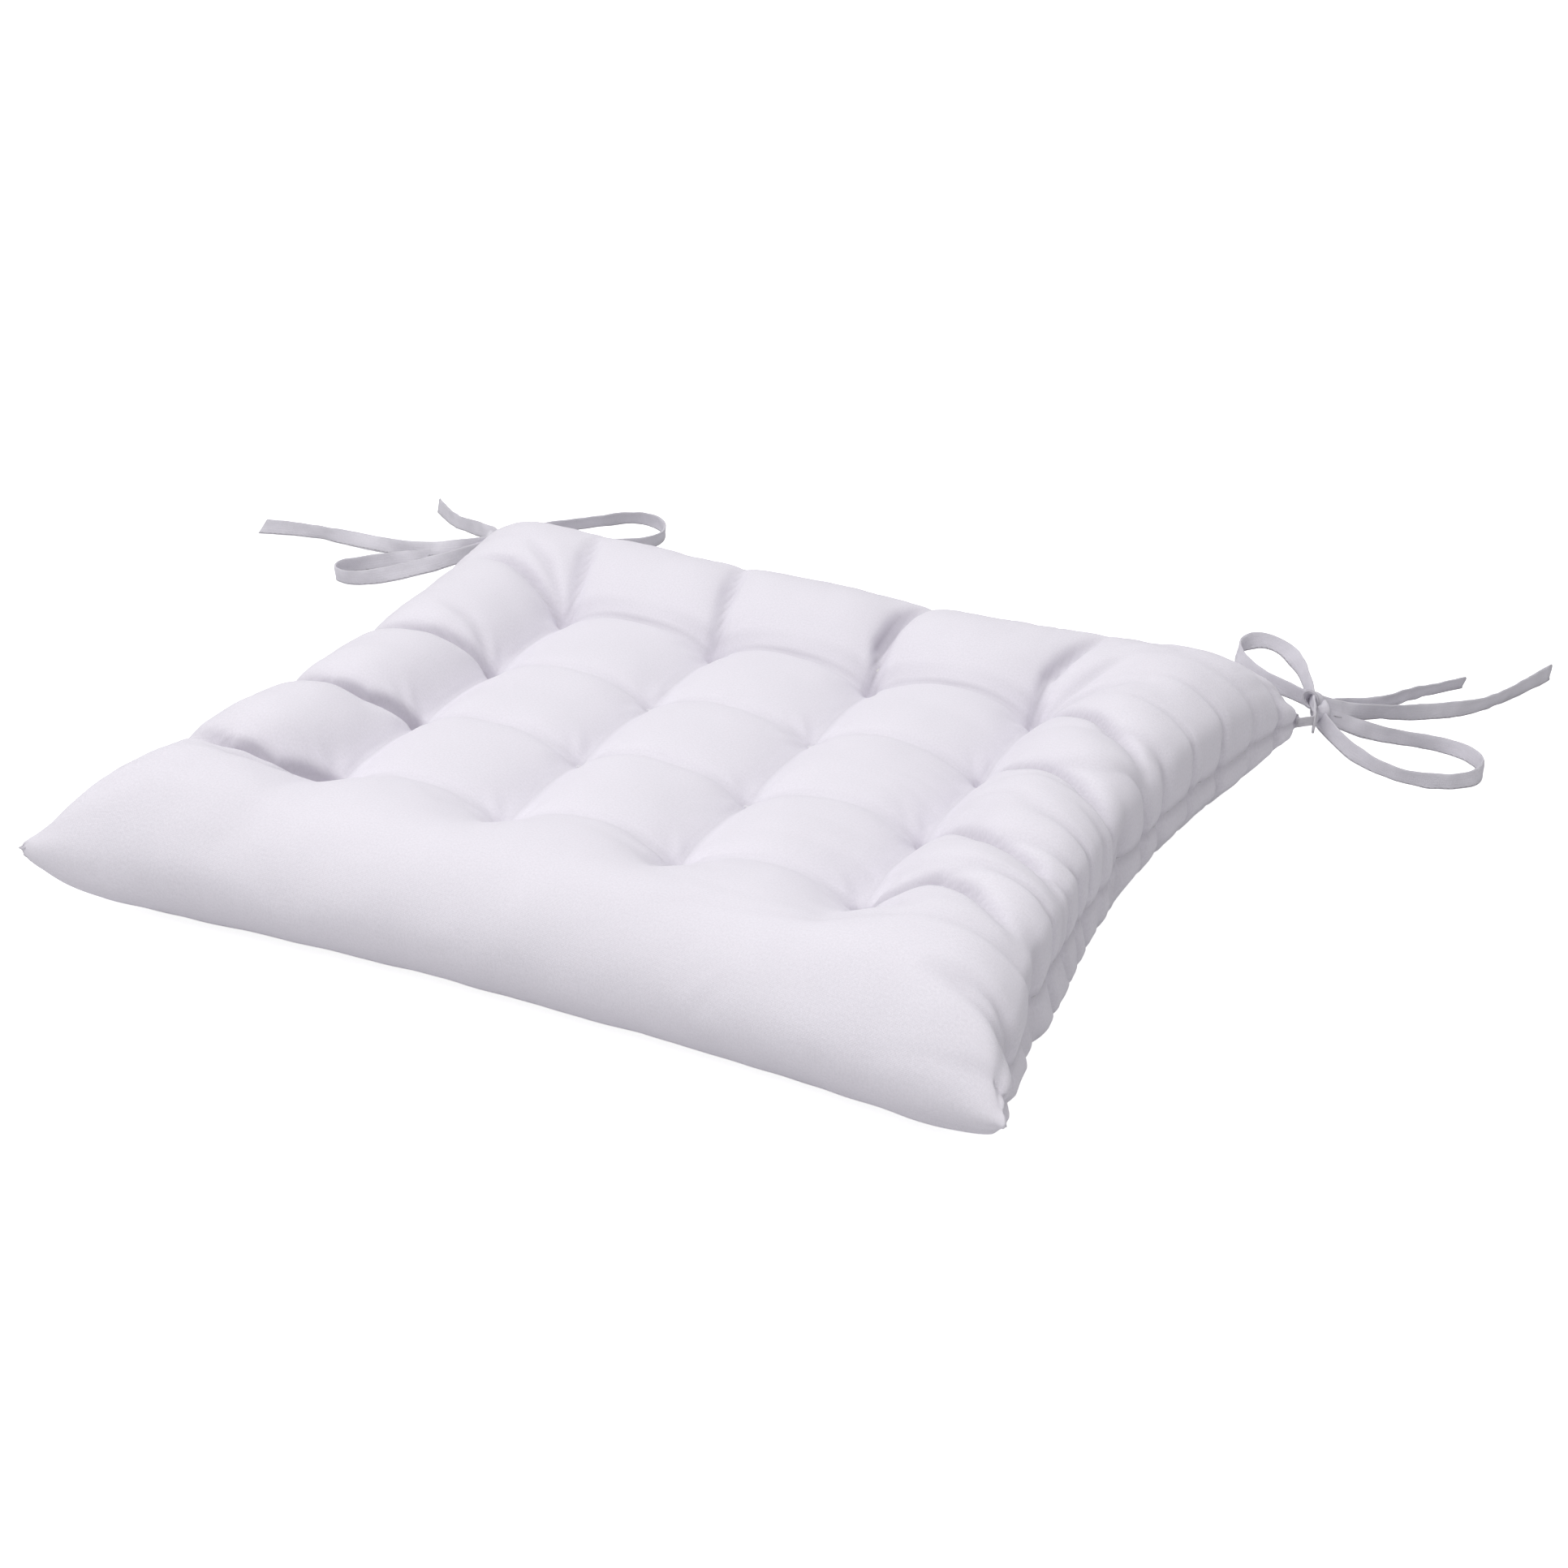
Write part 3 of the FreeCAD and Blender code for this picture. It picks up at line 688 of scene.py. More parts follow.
def gather_folds(along, away, depth, span, pitch, seed, sharpness):
    """Uneven folds gathered into a seam, as their height and as the creases between their round ridges."""
    slant = along + 0.35 * away * flat_noise(along, 0 * along, 0.05, seed + 2)
    coarse = flat_noise(slant, 0.22 * away, pitch, seed)
    fine = flat_noise(slant, 0.3 * away, 0.5 * pitch, seed + 5)
    crease = np.clip(1 - np.abs(coarse + 0.3 * fine) / sharpness, 0, 1) ** 1.3
    reach_out = span * (1 + 0.8 * flat_noise(along, 0 * along, 0.03, seed + 9))
    fade = np.exp(-away / np.maximum(reach_out, 0.3 * span))
    return depth * (0.3 - crease) * fade, crease * fade


def tuft_wrinkles(points, tufts):
    """Short wrinkles that run into each tuft."""
    lift = np.zeros(len(points))
    for row in range(ROWS):
        for column in range(COLUMNS):
            off = points[:, :2] - np.array(tufts[row][column][:2])
            distance = np.linalg.norm(off, axis=1)
            near = distance < 0.03
            turn = np.arctan2(off[near, 1], off[near, 0])
            start = 1.9 * row + 2.6 * column
            folds = np.cos(7 * turn + start) + 0.6 * np.cos(11 * turn + 2 * start)
            lift[near] += WRINKLE * folds * bell(distance[near] - WRINKLE_RING, WRINKLE_BREADTH)
    return lift


def fine_detail(cover, tufts):
    """Fine relief of the finer mesh (creases, folds, grooves and wrinkles), and the painted shade in its
    hollows.
    """
    shape = settings("shape")
    mesh = cover.data
    cut = read_cut(mesh)
    u, v, side = cut[:, 0], cut[:, 1], cut[:, 2]
    left, right, front, rear = rim_distances(u, v)
    points = get_points(mesh)
    normals = get_normals(mesh)
    lift = tuft_wrinkles(points, tufts)
    _, line_depth, shade = crease_depth(points[:, :2], tufts)
    from_row = from_line(v, CUT_PITCH_V)[0]
    column_share = from_line(u, CUT_PITCH_U)[1]
    row_line = ROW_LINE * bell(from_row, ROW_LINE_BREADTH) * column_share
    lift -= np.where(side > 0, line_depth + row_line, 0.4 * row_line) * np.clip(normals[:, 2], 0, 1)
    ends = np.clip(np.minimum(front, rear) / 0.02, 0, 1)
    sides = np.clip(np.minimum(left, right) / 0.02, 0, 1)
    folds = np.zeros(len(points))
    for name, along, away, near in (("left", v, left, ends), ("right", v + 0.4, right, ends),
                                    ("rear", u, rear, sides)):
        height, *spread = GATHERS[name]
        raised, line = gather_folds(along, away, height * shape.pucker, *spread)
        lift += raised * near
        folds = np.maximum(folds, line * near)
    seam = np.minimum(np.minimum(left, right), rear)
    lift += LIP * bell(seam - 0.0055, 0.003)
    lift -= shape.groove * bell(seam, 0.0019) * np.clip(front / 0.006, 0, 1)
    lift += sum(height * noise_at(points, spacing, seed) for height, spacing, seed in UNEVENNESS)
    points += normals * lift[:, None]
    points[:, 2] = np.maximum(points[:, 2], shape.under_floor)
    set_points(mesh, points)

    # Painted shade, kept in the hollow mask: the cloth's colour darkened along the row lines, the rear row
    # and the column lines, in the seams, in the gathered folds, in the rim creases and round the tufts,
    # where shade falls
    past_row = np.clip(v / CUT_PITCH_V + 1.5, 0, 3)
    past_row = (past_row - np.round(past_row)) * CUT_PITCH_V
    past_rear = v - 1.5 * CUT_PITCH_V
    inside = np.clip(np.minimum(np.minimum(left, right) - CUT_SIDE, np.minimum(front, rear) - CUT_FRONT)
                     / 0.004 + 1, 0, 1)
    row_shade = SHADES["row"] * bell(past_row - 0.0009, 0.0018) * (1 - 0.75 * column_share ** 0.7)
    rear_shade = SHADES["rear row"] * bell(past_rear - 0.0016, 0.0019) * (0.5 + 0.5 * column_share)
    column_shade = SHADES["column"] * bell(column_share * CUT_PITCH_U / 2, 0.0022)
    lines = np.maximum(np.maximum(row_shade, rear_shade), column_shade) * inside
    hollow = np.maximum(SHADES["seam"] * bell(seam, 0.0015), np.where(side > 0, np.maximum(shade, lines), 0))
    hollow = np.maximum(hollow, np.where(side > 0, SHADES["fold"], SHADES["fold under"]) * folds)
    for line in tufts:
        for tuft in line:
            distance = np.linalg.norm(points[:, :2] - np.array(tuft[:2]), axis=1)
            hollow = np.maximum(hollow, SHADES["tuft"] * bell(distance, 0.0035))
    add_attribute(mesh, "hollow", hollow)
    layer = mesh.uv_layers.active or mesh.uv_layers.new(name="cloth")
    layer.name = "cloth"
    corners = np.empty(len(mesh.loops), dtype=int)
    mesh.loops.foreach_get("vertex_index", corners)
    layer.data.foreach_set("uv", np.ascontiguousarray(cut[corners, :2]).ravel())


def nearest_point(points, target):
    return int(np.argmin(np.linalg.norm(points - np.array(target), axis=1)))


def make_cover():
    tufts = tuft_places()
    cover, side = cut_panels()
    mesh = cover.data
    flat = get_points(mesh).copy()
    set_points(mesh, pad_surface(flat, side, tufts))
    add_attribute(mesh, "cut", np.stack([flat[:, 0], flat[:, 1], side], axis=1))
    marks = []
    for row in range(ROWS):
        for column in range(COLUMNS):
            place = ((column - 1.5) * CUT_PITCH_U, (row - 1.5) * CUT_PITCH_V, 0)
            away = np.linalg.norm(flat - np.array(place), axis=1)
            marks += [int(k) for k in np.nonzero(away < CUT_CELL / 10)[0]]
    u, v = flat[:, 0], flat[:, 1]
    left, right, front, rear = rim_distances(u, v)
    tips = (np.minimum(left, right) < CUT_CELL / 10) & (np.minimum(front, rear) < CUT_CELL / 10)
    marks += [int(k) for k in np.nonzero(tips)[0]]
    fill_by_simulation(cover, flat, marks)
    return cover, tufts


# ---------------------------------------------------------------- strips and threads

def smooth_line(name, points, fineness):
    """Points along the smooth line that the given points draw."""
    curve = bpy.data.curves.new(name, "CURVE")
    curve.dimensions = "3D"
    curve.resolution_u = fineness
    spline = curve.splines.new("NURBS")
    spline.points.add(len(points) - 1)
    for control, point in zip(spline.points, points):
        control.co = (*point, 1.0)
    spline.order_u = 3
    spline.use_endpoint_u = True
    carrier = bpy.data.objects.new(name, curve)
    mesh = bpy.data.meshes.new_from_object(carrier)
    line = get_points(mesh).copy()
    bpy.data.objects.remove(carrier)
    bpy.data.curves.remove(curve)
    bpy.data.meshes.remove(mesh)
    return line


def strip_frames(line, leans):
    """Tangent, width and thickness directions along a strip that stands on edge, leaned as asked."""
    tangent = np.gradient(line, axis=0)
    tangent /= np.linalg.norm(tangent, axis=1)[:, None]
    beside = np.cross(tangent, [0, 0, 1.0])
    beside /= np.linalg.norm(beside, axis=1)[:, None]
    upright = np.cross(beside, tangent)
    share = np.linspace(0, 1, len(line))
    lean = np.radians(np.interp(share, [place for place, _ in leans], [angle for _, angle in leans]))
    width = upright * np.cos(lean)[:, None] + beside * np.sin(lean)[:, None]
    return tangent, width, np.cross(tangent, width)


def skin_rings(name, rings, closed, lengths):
    """Mesh through rings of points, with the length along it and the place round it as its UV map."""
    count = len(rings[0])
    shell = bmesh.new()
    uv = shell.loops.layers.uv.new("cloth")
    rows = [[shell.verts.new(point) for point in ring] for ring in rings]
    around = np.linspace(0, 1, count + 1)
    spans = len(rows) if closed else len(rows) - 1
    for step in range(spans):
        first, second = rows[step], rows[(step + 1) % len(rows)]
        for side in range(count):
            after = (side + 1) % count
            face = shell.faces.new((first[side], first[after], second[after], second[side]))
            face.smooth = True
            places = [(lengths[step], around[side]), (lengths[step], around[side + 1]),
                      (lengths[step + 1], around[side + 1]), (lengths[step + 1], around[side])]
            for loop, place in zip(face.loops, places):
                loop[uv].uv = place
    if not closed:
        shell.faces.new(rows[0][::-1])
        shell.faces.new(rows[-1])
    bmesh.ops.recalc_face_normals(shell, faces=shell.faces)
    mesh = bpy.data.meshes.new(name)
    shell.to_mesh(mesh)
    shell.free()
    piece = bpy.data.objects.new(name, mesh)
    bpy.context.scene.collection.objects.link(piece)
    return piece


def strip(name, line, leans, slant, seed):
    """A folded strip of cloth along a line, with small dents and an end cut at a slant."""
    ties = settings("ties")
    tangent, width, through = strip_frames(line, leans)
    lengths = lengths_along(line)
    section = np.array(STRIP_SECTION)
    half = ties.width / 2
    bow = flat_noise(lengths, 0 * lengths, 0.017, seed)
    narrow = 1 - TIE_NARROWING * np.abs(flat_noise(lengths, 0 * lengths, 0.024, seed + 3))
    narrow *= 1 - TIE_PINCH * bell(lengths, TIE_PINCH_LENGTH)
    rings = []
    for k, point in enumerate(line):
        across = section[:, 0] * half * narrow[k]
        offset = section[:, 1] * ties.thickness / 2
        dents = flat_noise(np.full(len(across), lengths[k]), across * 1.5, 0.006, seed + 7)
        offset = offset + dents * ties.crumple + TIE_BOW * bow[k] * (1 - section[:, 0] ** 2)
        ahead = slant * across if k == len(line) - 1 else 0 * across
        rings.append(point + across[:, None] * width[k] + offset[:, None] * through[k]
                     + ahead[:, None] * tangent[k])
    return skin_rings(name, rings, False, lengths)


def wrap(name, middle, axis, tall, deep, broad, skew):
    """A strip wound once round the strands of a knot."""
    ties = settings("ties")
    axis = Vector(axis).normalized()
    above = Vector((0, 0, 1))
    side = axis.cross(above).normalized()
    rings = []
    for step in range(KNOT_STEPS):
        turn = 2 * math.pi * step / KNOT_STEPS
        out = side * math.cos(turn) * deep + above * math.sin(turn) * tall
        normal = (side * math.cos(turn) / deep + above * math.sin(turn) / tall).normalized()
        centre = Vector(middle) + out + axis * skew * math.cos(turn + 0.8)
        pinch = 1 - 0.22 * max(0.0, math.cos(turn - 2.2))
        rings.append([centre + axis * (across * broad / 2 * pinch)
                      + normal * (through * ties.thickness / 2 + 0.0004 * math.sin(9 * across + turn))
                      for across, through in STRIP_SECTION])
    return skin_rings(name, rings, True, np.linspace(0, 0.03, KNOT_STEPS + 1))


def strand_model():
    """One short strand of thread along Z, one unit long and one thick, thinner at its ends."""
    deselect()
    bpy.ops.mesh.primitive_cylinder_add(vertices=6, radius=0.5, depth=1, end_fill_type="NGON",
                                        location=(0, 0, 0.5))
    model = bpy.context.active_object
    bpy.ops.object.transform_apply(location=True, rotation=False, scale=False)
    shell = bmesh.new()
    shell.from_mesh(model.data)
    walls = [edge for edge in shell.edges if abs(edge.verts[0].co.z - edge.verts[1].co.z) > 0.5]
    bmesh.ops.subdivide_edges(shell, edges=walls, cuts=3)
    for vertex in shell.verts:
        taper = 1 - 0.45 * (2 * vertex.co.z - 1) ** 4
        vertex.co.x *= taper
        vertex.co.y *= taper
    shell.to_mesh(model.data)
    shell.free()
    model.data.shade_smooth()
    return model


def lay_strand(model, start, end, thickness, bow):
    """A copy of the strand from start to end, bowed out along bow."""
    strand = model.copy()
    strand.data = model.data.copy()
    bpy.context.scene.collection.objects.link(strand)
    start, along, bow = Vector(start), Vector(end) - Vector(start), Vector(bow)
    turn = along.to_track_quat("Z", "Y").to_matrix()
    for vertex in strand.data.vertices:
        share = vertex.co.z
        place = turn @ Vector((vertex.co.x, vertex.co.y, 0)) * thickness
        vertex.co = place + start + along * share + bow * (4 * share * (1 - share))
    return strand


# ---------------------------------------------------------------- finishes

def add_node(tree, kind, **values):
    node = tree.nodes.new(kind)
    for name, value in values.items():
        setattr(node, name, value)
    return node


def math_node(tree, operation, *values):
    node = add_node(tree, "ShaderNodeMath", operation=operation)
    for socket, value in zip(node.inputs, values):
        if isinstance(value, (int, float)):
            socket.default_value = value
        else:
            tree.links.new(value, socket)
    return node.outputs[0]


def new_group(name, inputs, outputs):
    """A shader node group with the named sockets, and its two end nodes."""
    tree = bpy.data.node_groups.new(name, "ShaderNodeTree")
    for label, kind, value in inputs:
        socket = tree.interface.new_socket(name=label, in_out="INPUT", socket_type=kind)
        if value is not None:
            socket.default_value = value
    for label, kind in outputs:
        tree.interface.new_socket(name=label, in_out="OUTPUT", socket_type=kind)
    return tree, tree.nodes.new("NodeGroupInput"), tree.nodes.new("NodeGroupOutput")


def weave_group():
    """Plain weave: warp and weft threads that pass over and under each other, with uneven yarn."""
    tree, given, result = new_group(
        "plain_weave",
        [("Place", "NodeSocketVector", None), ("Thread pitch", "NodeSocketFloat", 0.0004),
         ("Unevenness", "NodeSocketFloat", 0.5)],
        [("Height", "NodeSocketFloat"), ("Shade", "NodeSocketFloat")])
    links = tree.links
    split = tree.nodes.new("ShaderNodeSeparateXYZ")
    links.new(given.outputs["Place"], split.inputs[0])
    calc = partial(math_node, tree)
    across, along = [calc("DIVIDE", split.outputs[axis], given.outputs["Thread pitch"]) for axis in "XY"]
    warp, weft = [calc("ABSOLUTE", calc("SINE", calc("MULTIPLY", place, math.pi)))
                  for place in (across, along)]
    cells = calc("ADD", calc("FLOOR", across), calc("FLOOR", along))
    over = calc("MODULO", calc("ABSOLUTE", cells), 2.0)
    under = calc("SUBTRACT", 1.0, over)
    threads = calc("ADD", calc("MULTIPLY", warp, over), calc("MULTIPLY", weft, under))
    yarn = add_node(tree, "ShaderNodeTexNoise")
    yarn.inputs["Scale"].default_value = YARN_SCALE
    yarn.inputs["Detail"].default_value = 3.0
    links.new(given.outputs["Place"], yarn.inputs["Vector"])
    uneven = calc("MULTIPLY", yarn.outputs["Fac"], given.outputs["Unevenness"])
    links.new(calc("ADD", threads, calc("MULTIPLY", uneven, 2.4)), result.inputs["Height"])
    # Shade: the yarn's uneven tone, with painted shade in the gaps between the threads, where their relief
    # is low
    shade = calc("ADD", calc("MULTIPLY", threads, 0.25), calc("MULTIPLY", uneven, 1.5))
    links.new(shade, result.inputs["Shade"])
    return tree


def handling_group():
    """Marks of handling: broad soft patches of colour and faint crush lines."""
    tree, given, result = new_group(
        "handling_marks",
        [("Place", "NodeSocketVector", None), ("Size", "NodeSocketFloat", 30.0)],
        [("Patches", "NodeSocketFloat"), ("Crush", "NodeSocketFloat")])
    patches = add_node(tree, "ShaderNodeTexNoise")
    patches.inputs["Detail"].default_value = 4.0
    tree.links.new(given.outputs["Place"], patches.inputs["Vector"])
    tree.links.new(given.outputs["Size"], patches.inputs["Scale"])
    crush = add_node(tree, "ShaderNodeTexNoise", noise_type="RIDGED_MULTIFRACTAL")
    crush.inputs["Detail"].default_value = 3.0
    tree.links.new(given.outputs["Place"], crush.inputs["Vector"])
    tree.links.new(math_node(tree, "MULTIPLY", given.outputs["Size"], 2.2), crush.inputs["Scale"])
    tree.links.new(patches.outputs["Fac"], result.inputs["Patches"])
    tree.links.new(crush.outputs["Fac"], result.inputs["Crush"])
    return tree


def twist_group():
    """Twisted thread: slanting ridges round a strand."""
    tree, given, result = new_group(
        "thread_twist", [("Place", "NodeSocketVector", None), ("Scale", "NodeSocketFloat", 900.0)],
        [("Height", "NodeSocketFloat")])
    ridges = add_node(tree, "ShaderNodeTexWave", wave_type="BANDS", bands_direction="DIAGONAL")
    ridges.inputs["Distortion"].default_value = 1.5
    tree.links.new(given.outputs["Place"], ridges.inputs["Vector"])
    tree.links.new(given.outputs["Scale"], ridges.inputs["Scale"])
    tree.links.new(ridges.outputs["Fac"], result.inputs["Height"])
    return tree


def shared_group(name):
    makers = {"plain_weave": weave_group, "handling_marks": handling_group, "thread_twist": twist_group}
    return bpy.data.node_groups.get(name) or makers[name]()


def place_group(tree, name, place, **values):
    node = add_node(tree, "ShaderNodeGroup", node_tree=shared_group(name))
    tree.links.new(place, node.inputs["Place"])
    for label, value in values.items():
        node.inputs[label.replace("_", " ")].default_value = value
    return node


def new_material(name, roughness, sheen, sheen_roughness=0.5):
    """A material with its constants on the shader's own sockets; also its tree and shader."""
    material = bpy.data.materials.new(name)
    material.use_nodes = True
    tree = material.node_tree
    shader = tree.nodes["Principled BSDF"]
    shader.inputs["Roughness"].default_value = roughness
    shader.inputs["Sheen Weight"].default_value = sheen
    shader.inputs["Sheen Roughness"].default_value = sheen_roughness
    shader.inputs["Specular IOR Level"].default_value = 0.4
    return material, tree, shader


def darker(colour, share):
    return tuple(share * part for part in colour)


def mix_colours(tree, factor, first, second):
    node = add_node(tree, "ShaderNodeMix", data_type="RGBA")
    tree.links.new(factor, node.inputs["Factor"])
    for socket, colour in zip((node.inputs[6], node.inputs[7]), (first, second)):
        if isinstance(colour, bpy.types.NodeSocket):
            tree.links.new(colour, socket)
        else:
            socket.default_value = (*colour, 1.0)
    return node.outputs[2]


def map_range(tree, value, low, high, new_low, new_high):
    node = add_node(tree, "ShaderNodeMapRange")
    tree.links.new(value, node.inputs["Value"])
    for label, number in (("From Min", low), ("From Max", high), ("To Min", new_low),
                          ("To Max", new_high)):
        node.inputs[label].default_value = number
    return node.outputs["Result"]


def bump(tree, shader, height, distance, strength, before=None):
    node = add_node(tree, "ShaderNodeBump")
    node.inputs["Distance"].default_value = distance
    node.inputs["Strength"].default_value = strength
    tree.links.new(height, node.inputs["Height"])
    if before is not None:
        tree.links.new(before, node.inputs["Normal"])
    tree.links.new(node.outputs["Normal"], shader.inputs["Normal"])
    return node.outputs["Normal"]


def object_place(tree):
    return add_node(tree, "ShaderNodeTexCoord").outputs["Object"]


def cover_finish():
    colours = settings("colours")
    material, tree, shader = new_material(FINISHED + "cover_cloth", 0.88, 0.05, 0.45)
    cloth = add_node(tree, "ShaderNodeUVMap", uv_map="cloth").outputs["UV"]
    weave = place_group(tree, "plain_weave", cloth, Thread_pitch=THREAD_PITCH, Unevenness=0.7)
    marks = place_group(tree, "handling_marks", object_place(tree), Size=22.0)
    hollow = add_node(tree, "ShaderNodeAttribute", attribute_name="hollow").outputs["Fac"]
    patches = map_range(tree, marks.outputs["Patches"], 0.35, 0.65, 0.0, 0.22)
    base = mix_colours(tree, patches, colours.cover, darker(colours.cover, 0.92))
    # Painted shade: the cover darkened towards its shade colour by the hollow mask, in creases, seams,
    # folds, lines and tufts
    base = mix_colours(tree, hollow, base, colours.cover_shade_and_grain)
    # The yarn's uneven tone and the painted shade between the threads, darkening the cover
    grain_and_weave_shade = map_range(tree, weave.outputs["Shade"], 0.30, 0.90, 0.15, 0.0)
    base = mix_colours(tree, grain_and_weave_shade, base, darker(colours.cover_shade_and_grain, 0.55))
    tree.links.new(base, shader.inputs["Base Color"])
    tree.links.new(map_range(tree, weave.outputs["Shade"], 0.0, 1.2, 0.90, 0.74),
                   shader.inputs["Roughness"])
    crush = bump(tree, shader, marks.outputs["Crush"], 0.0007, 0.35)
    bump(tree, shader, weave.outputs["Height"], WEAVE_RELIEF, 0.4, crush)
    return material


def tie_finish():
    colours = settings("colours")
    material, tree, shader = new_material(FINISHED + "tie_cloth", 0.88, 0.05, 0.45)
    calc = partial(math_node, tree)
    place = add_node(tree, "ShaderNodeUVMap", uv_map="cloth").outputs["UV"]
    scaled = add_node(tree, "ShaderNodeMapping")
    scaled.inputs["Scale"].default_value = (1.0, 0.018, 1.0)
    tree.links.new(place, scaled.inputs["Vector"])
    weave = place_group(tree, "plain_weave", scaled.outputs["Vector"], Thread_pitch=THREAD_PITCH,
                        Unevenness=0.6)
    marks = place_group(tree, "handling_marks", object_place(tree), Size=60.0)
    split = add_node(tree, "ShaderNodeSeparateXYZ")
    tree.links.new(place, split.inputs[0])
    near = calc("MINIMUM", *[calc("ABSOLUTE", calc("SUBTRACT", split.outputs["Y"], share))
                             for share in TOPSTITCH_LINES])
    line = map_range(tree, near, 0.0, 0.022, 1.0, 0.0)
    beat = calc("SINE", calc("MULTIPLY", split.outputs["X"], 2 * math.pi / TOPSTITCH_PITCH))
    stitch = calc("MULTIPLY", line, map_range(tree, beat, -0.5, -0.2, 0.0, 1.0))
    deep = map_range(tree, marks.outputs["Patches"], 0.35, 0.65, 0.0, 0.5)
    # The yarn's uneven tone and the painted shade between the threads
    grain_and_weave_shade = map_range(tree, weave.outputs["Shade"], 0.15, 0.95, 0.16, 0.0)
    base = mix_colours(tree, deep, colours.tie, darker(colours.tie, 0.8))
    # Painted shade: the tie darker along the grooves of its topstitched lines, where shade falls; also
    # darker with the grain
    for share in (grain_and_weave_shade, calc("MULTIPLY", line, 0.35)):
        base = mix_colours(tree, share, base, darker(colours.tie, 0.5))
    tree.links.new(mix_colours(tree, stitch, base, colours.thread), shader.inputs["Base Color"])
    relief = calc("SUBTRACT", calc("MULTIPLY", stitch, 1.6), line)
    first = bump(tree, shader, relief, 0.0004, 0.9)
    second = bump(tree, shader, marks.outputs["Crush"], 0.0006, 0.6, first)
    bump(tree, shader, weave.outputs["Height"], WEAVE_RELIEF, 0.8, second)
    return material


def thread_finish():
    colours = settings("colours")
    material, tree, shader = new_material(FINISHED + "thread", 0.55, 0.3, 0.4)
    twist = place_group(tree, "thread_twist", object_place(tree), Scale=700.0)
    # Painted shade in the grooves between the twist's ridges
    shade = map_range(tree, twist.outputs["Height"], 0.0, 1.0, 0.35, 0.0)
    tree.links.new(mix_colours(tree, shade, colours.thread, darker(colours.thread, 0.6)),
                   shader.inputs["Base Color"])
    bump(tree, shader, twist.outputs["Height"], 0.0001, 0.8)
    return material


def filling_finish():
    colours = settings("colours")
    material, tree, shader = new_material(FINISHED + "fibre_filling", 0.95, 0.4, 0.6)
    marks = place_group(tree, "handling_marks", object_place(tree), Size=90.0)
    tree.links.new(mix_colours(tree, marks.outputs["Crush"], darker(colours.filling, 0.8), colours.filling),
                   shader.inputs["Base Color"])
    bump(tree, shader, marks.outputs["Crush"], 0.002, 0.8)
    return material


def finish_for(name):
    makers = {"cover_cloth": cover_finish, "tie_cloth": tie_finish, "thread": thread_finish,
              "fibre_filling": filling_finish}
    return bpy.data.materials.get(FINISHED + name) or makers[name]()


def hand_over(piece, body, slot, *nodes):
    """Gives a finished piece its material and its body, and hides the CAD nodes that it stands for."""
    piece.data.materials.clear()
    piece.data.materials.append(finish_for(slot))
    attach(piece, body)
    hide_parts(*nodes)


# ---------------------------------------------------------------- operators

class SEATPAD_OT_ties(bpy.types.Operator):
    """Sweep the four ties along their lines and wrap the two knots"""

    bl_idname = "seat_pad.ties"
    bl_label = "Ties"

    def execute(self, context):
        ties = settings("ties")
        for number, (name, route) in enumerate(TIE_ROUTES.items()):
            line = smooth_line(name, route, 9)
            piece = strip(name + "_cloth", line, TIE_LEANS[name], TIE_ENDS[name], 11.0 * number)
            side = 1 if "right" in name else -1
            label, shift, axis, *sizes = KNOTS[name.split("_")[2]]
            middle = Vector(route[2]) + Vector((side * shift[0], *shift[1:]))
            band = wrap(label, middle, (side * axis[0], *axis[1:]), *sizes)
            piece = join([piece, band], piece.name)
            body = "bow_right" if "right" in name else "bow_left"
            hand_over(piece, body, "tie_cloth", name)
        return {"FINISHED"}


class SEATPAD_OT_cover(bpy.types.Operator):
    """Cut, sew, tuft and fill the cover, and put the fibre filling inside it"""

    bl_idname = "seat_pad.cover"
    bl_label = "Cover and filling"

    def execute(self, context):
        cover, tufts = make_cover()
        filling = cover.copy()
        filling.data = cover.data.copy()
        filling.name = filling.data.name = "fibre_filling"
        context.scene.collection.objects.link(filling)
        gap = settings("filling").loft_gap
        points = get_points(filling.data)
        inner = points - get_normals(filling.data) * gap
        side = read_cut(filling.data)[:, 2]
        line_depth = crease_depth(points[:, :2], tufts)[1]
        inner[:, 2] -= np.where(side > 0, line_depth, 0)
        outer = np.clip(np.abs(inner[:, :2]) / (CAD_HALF_X, CAD_HALF_Y), 0, 1)
        draw = np.max(outer, axis=1) ** 12 + 5 * np.prod(outer, axis=1) ** 6
        inner[:, :2] *= 1 - FILLING_DRAW * draw[:, None]
        set_points(filling.data, inner)
        filling.data.shade_smooth()
        subdivide_once(cover)
        fine_detail(cover, tufts)
        cover.data.shade_smooth()
        hand_over(cover, "pad", "cover_cloth", "cover")
        hand_over(filling, "pad", "fibre_filling", "filling")
        return {"FINISHED"}


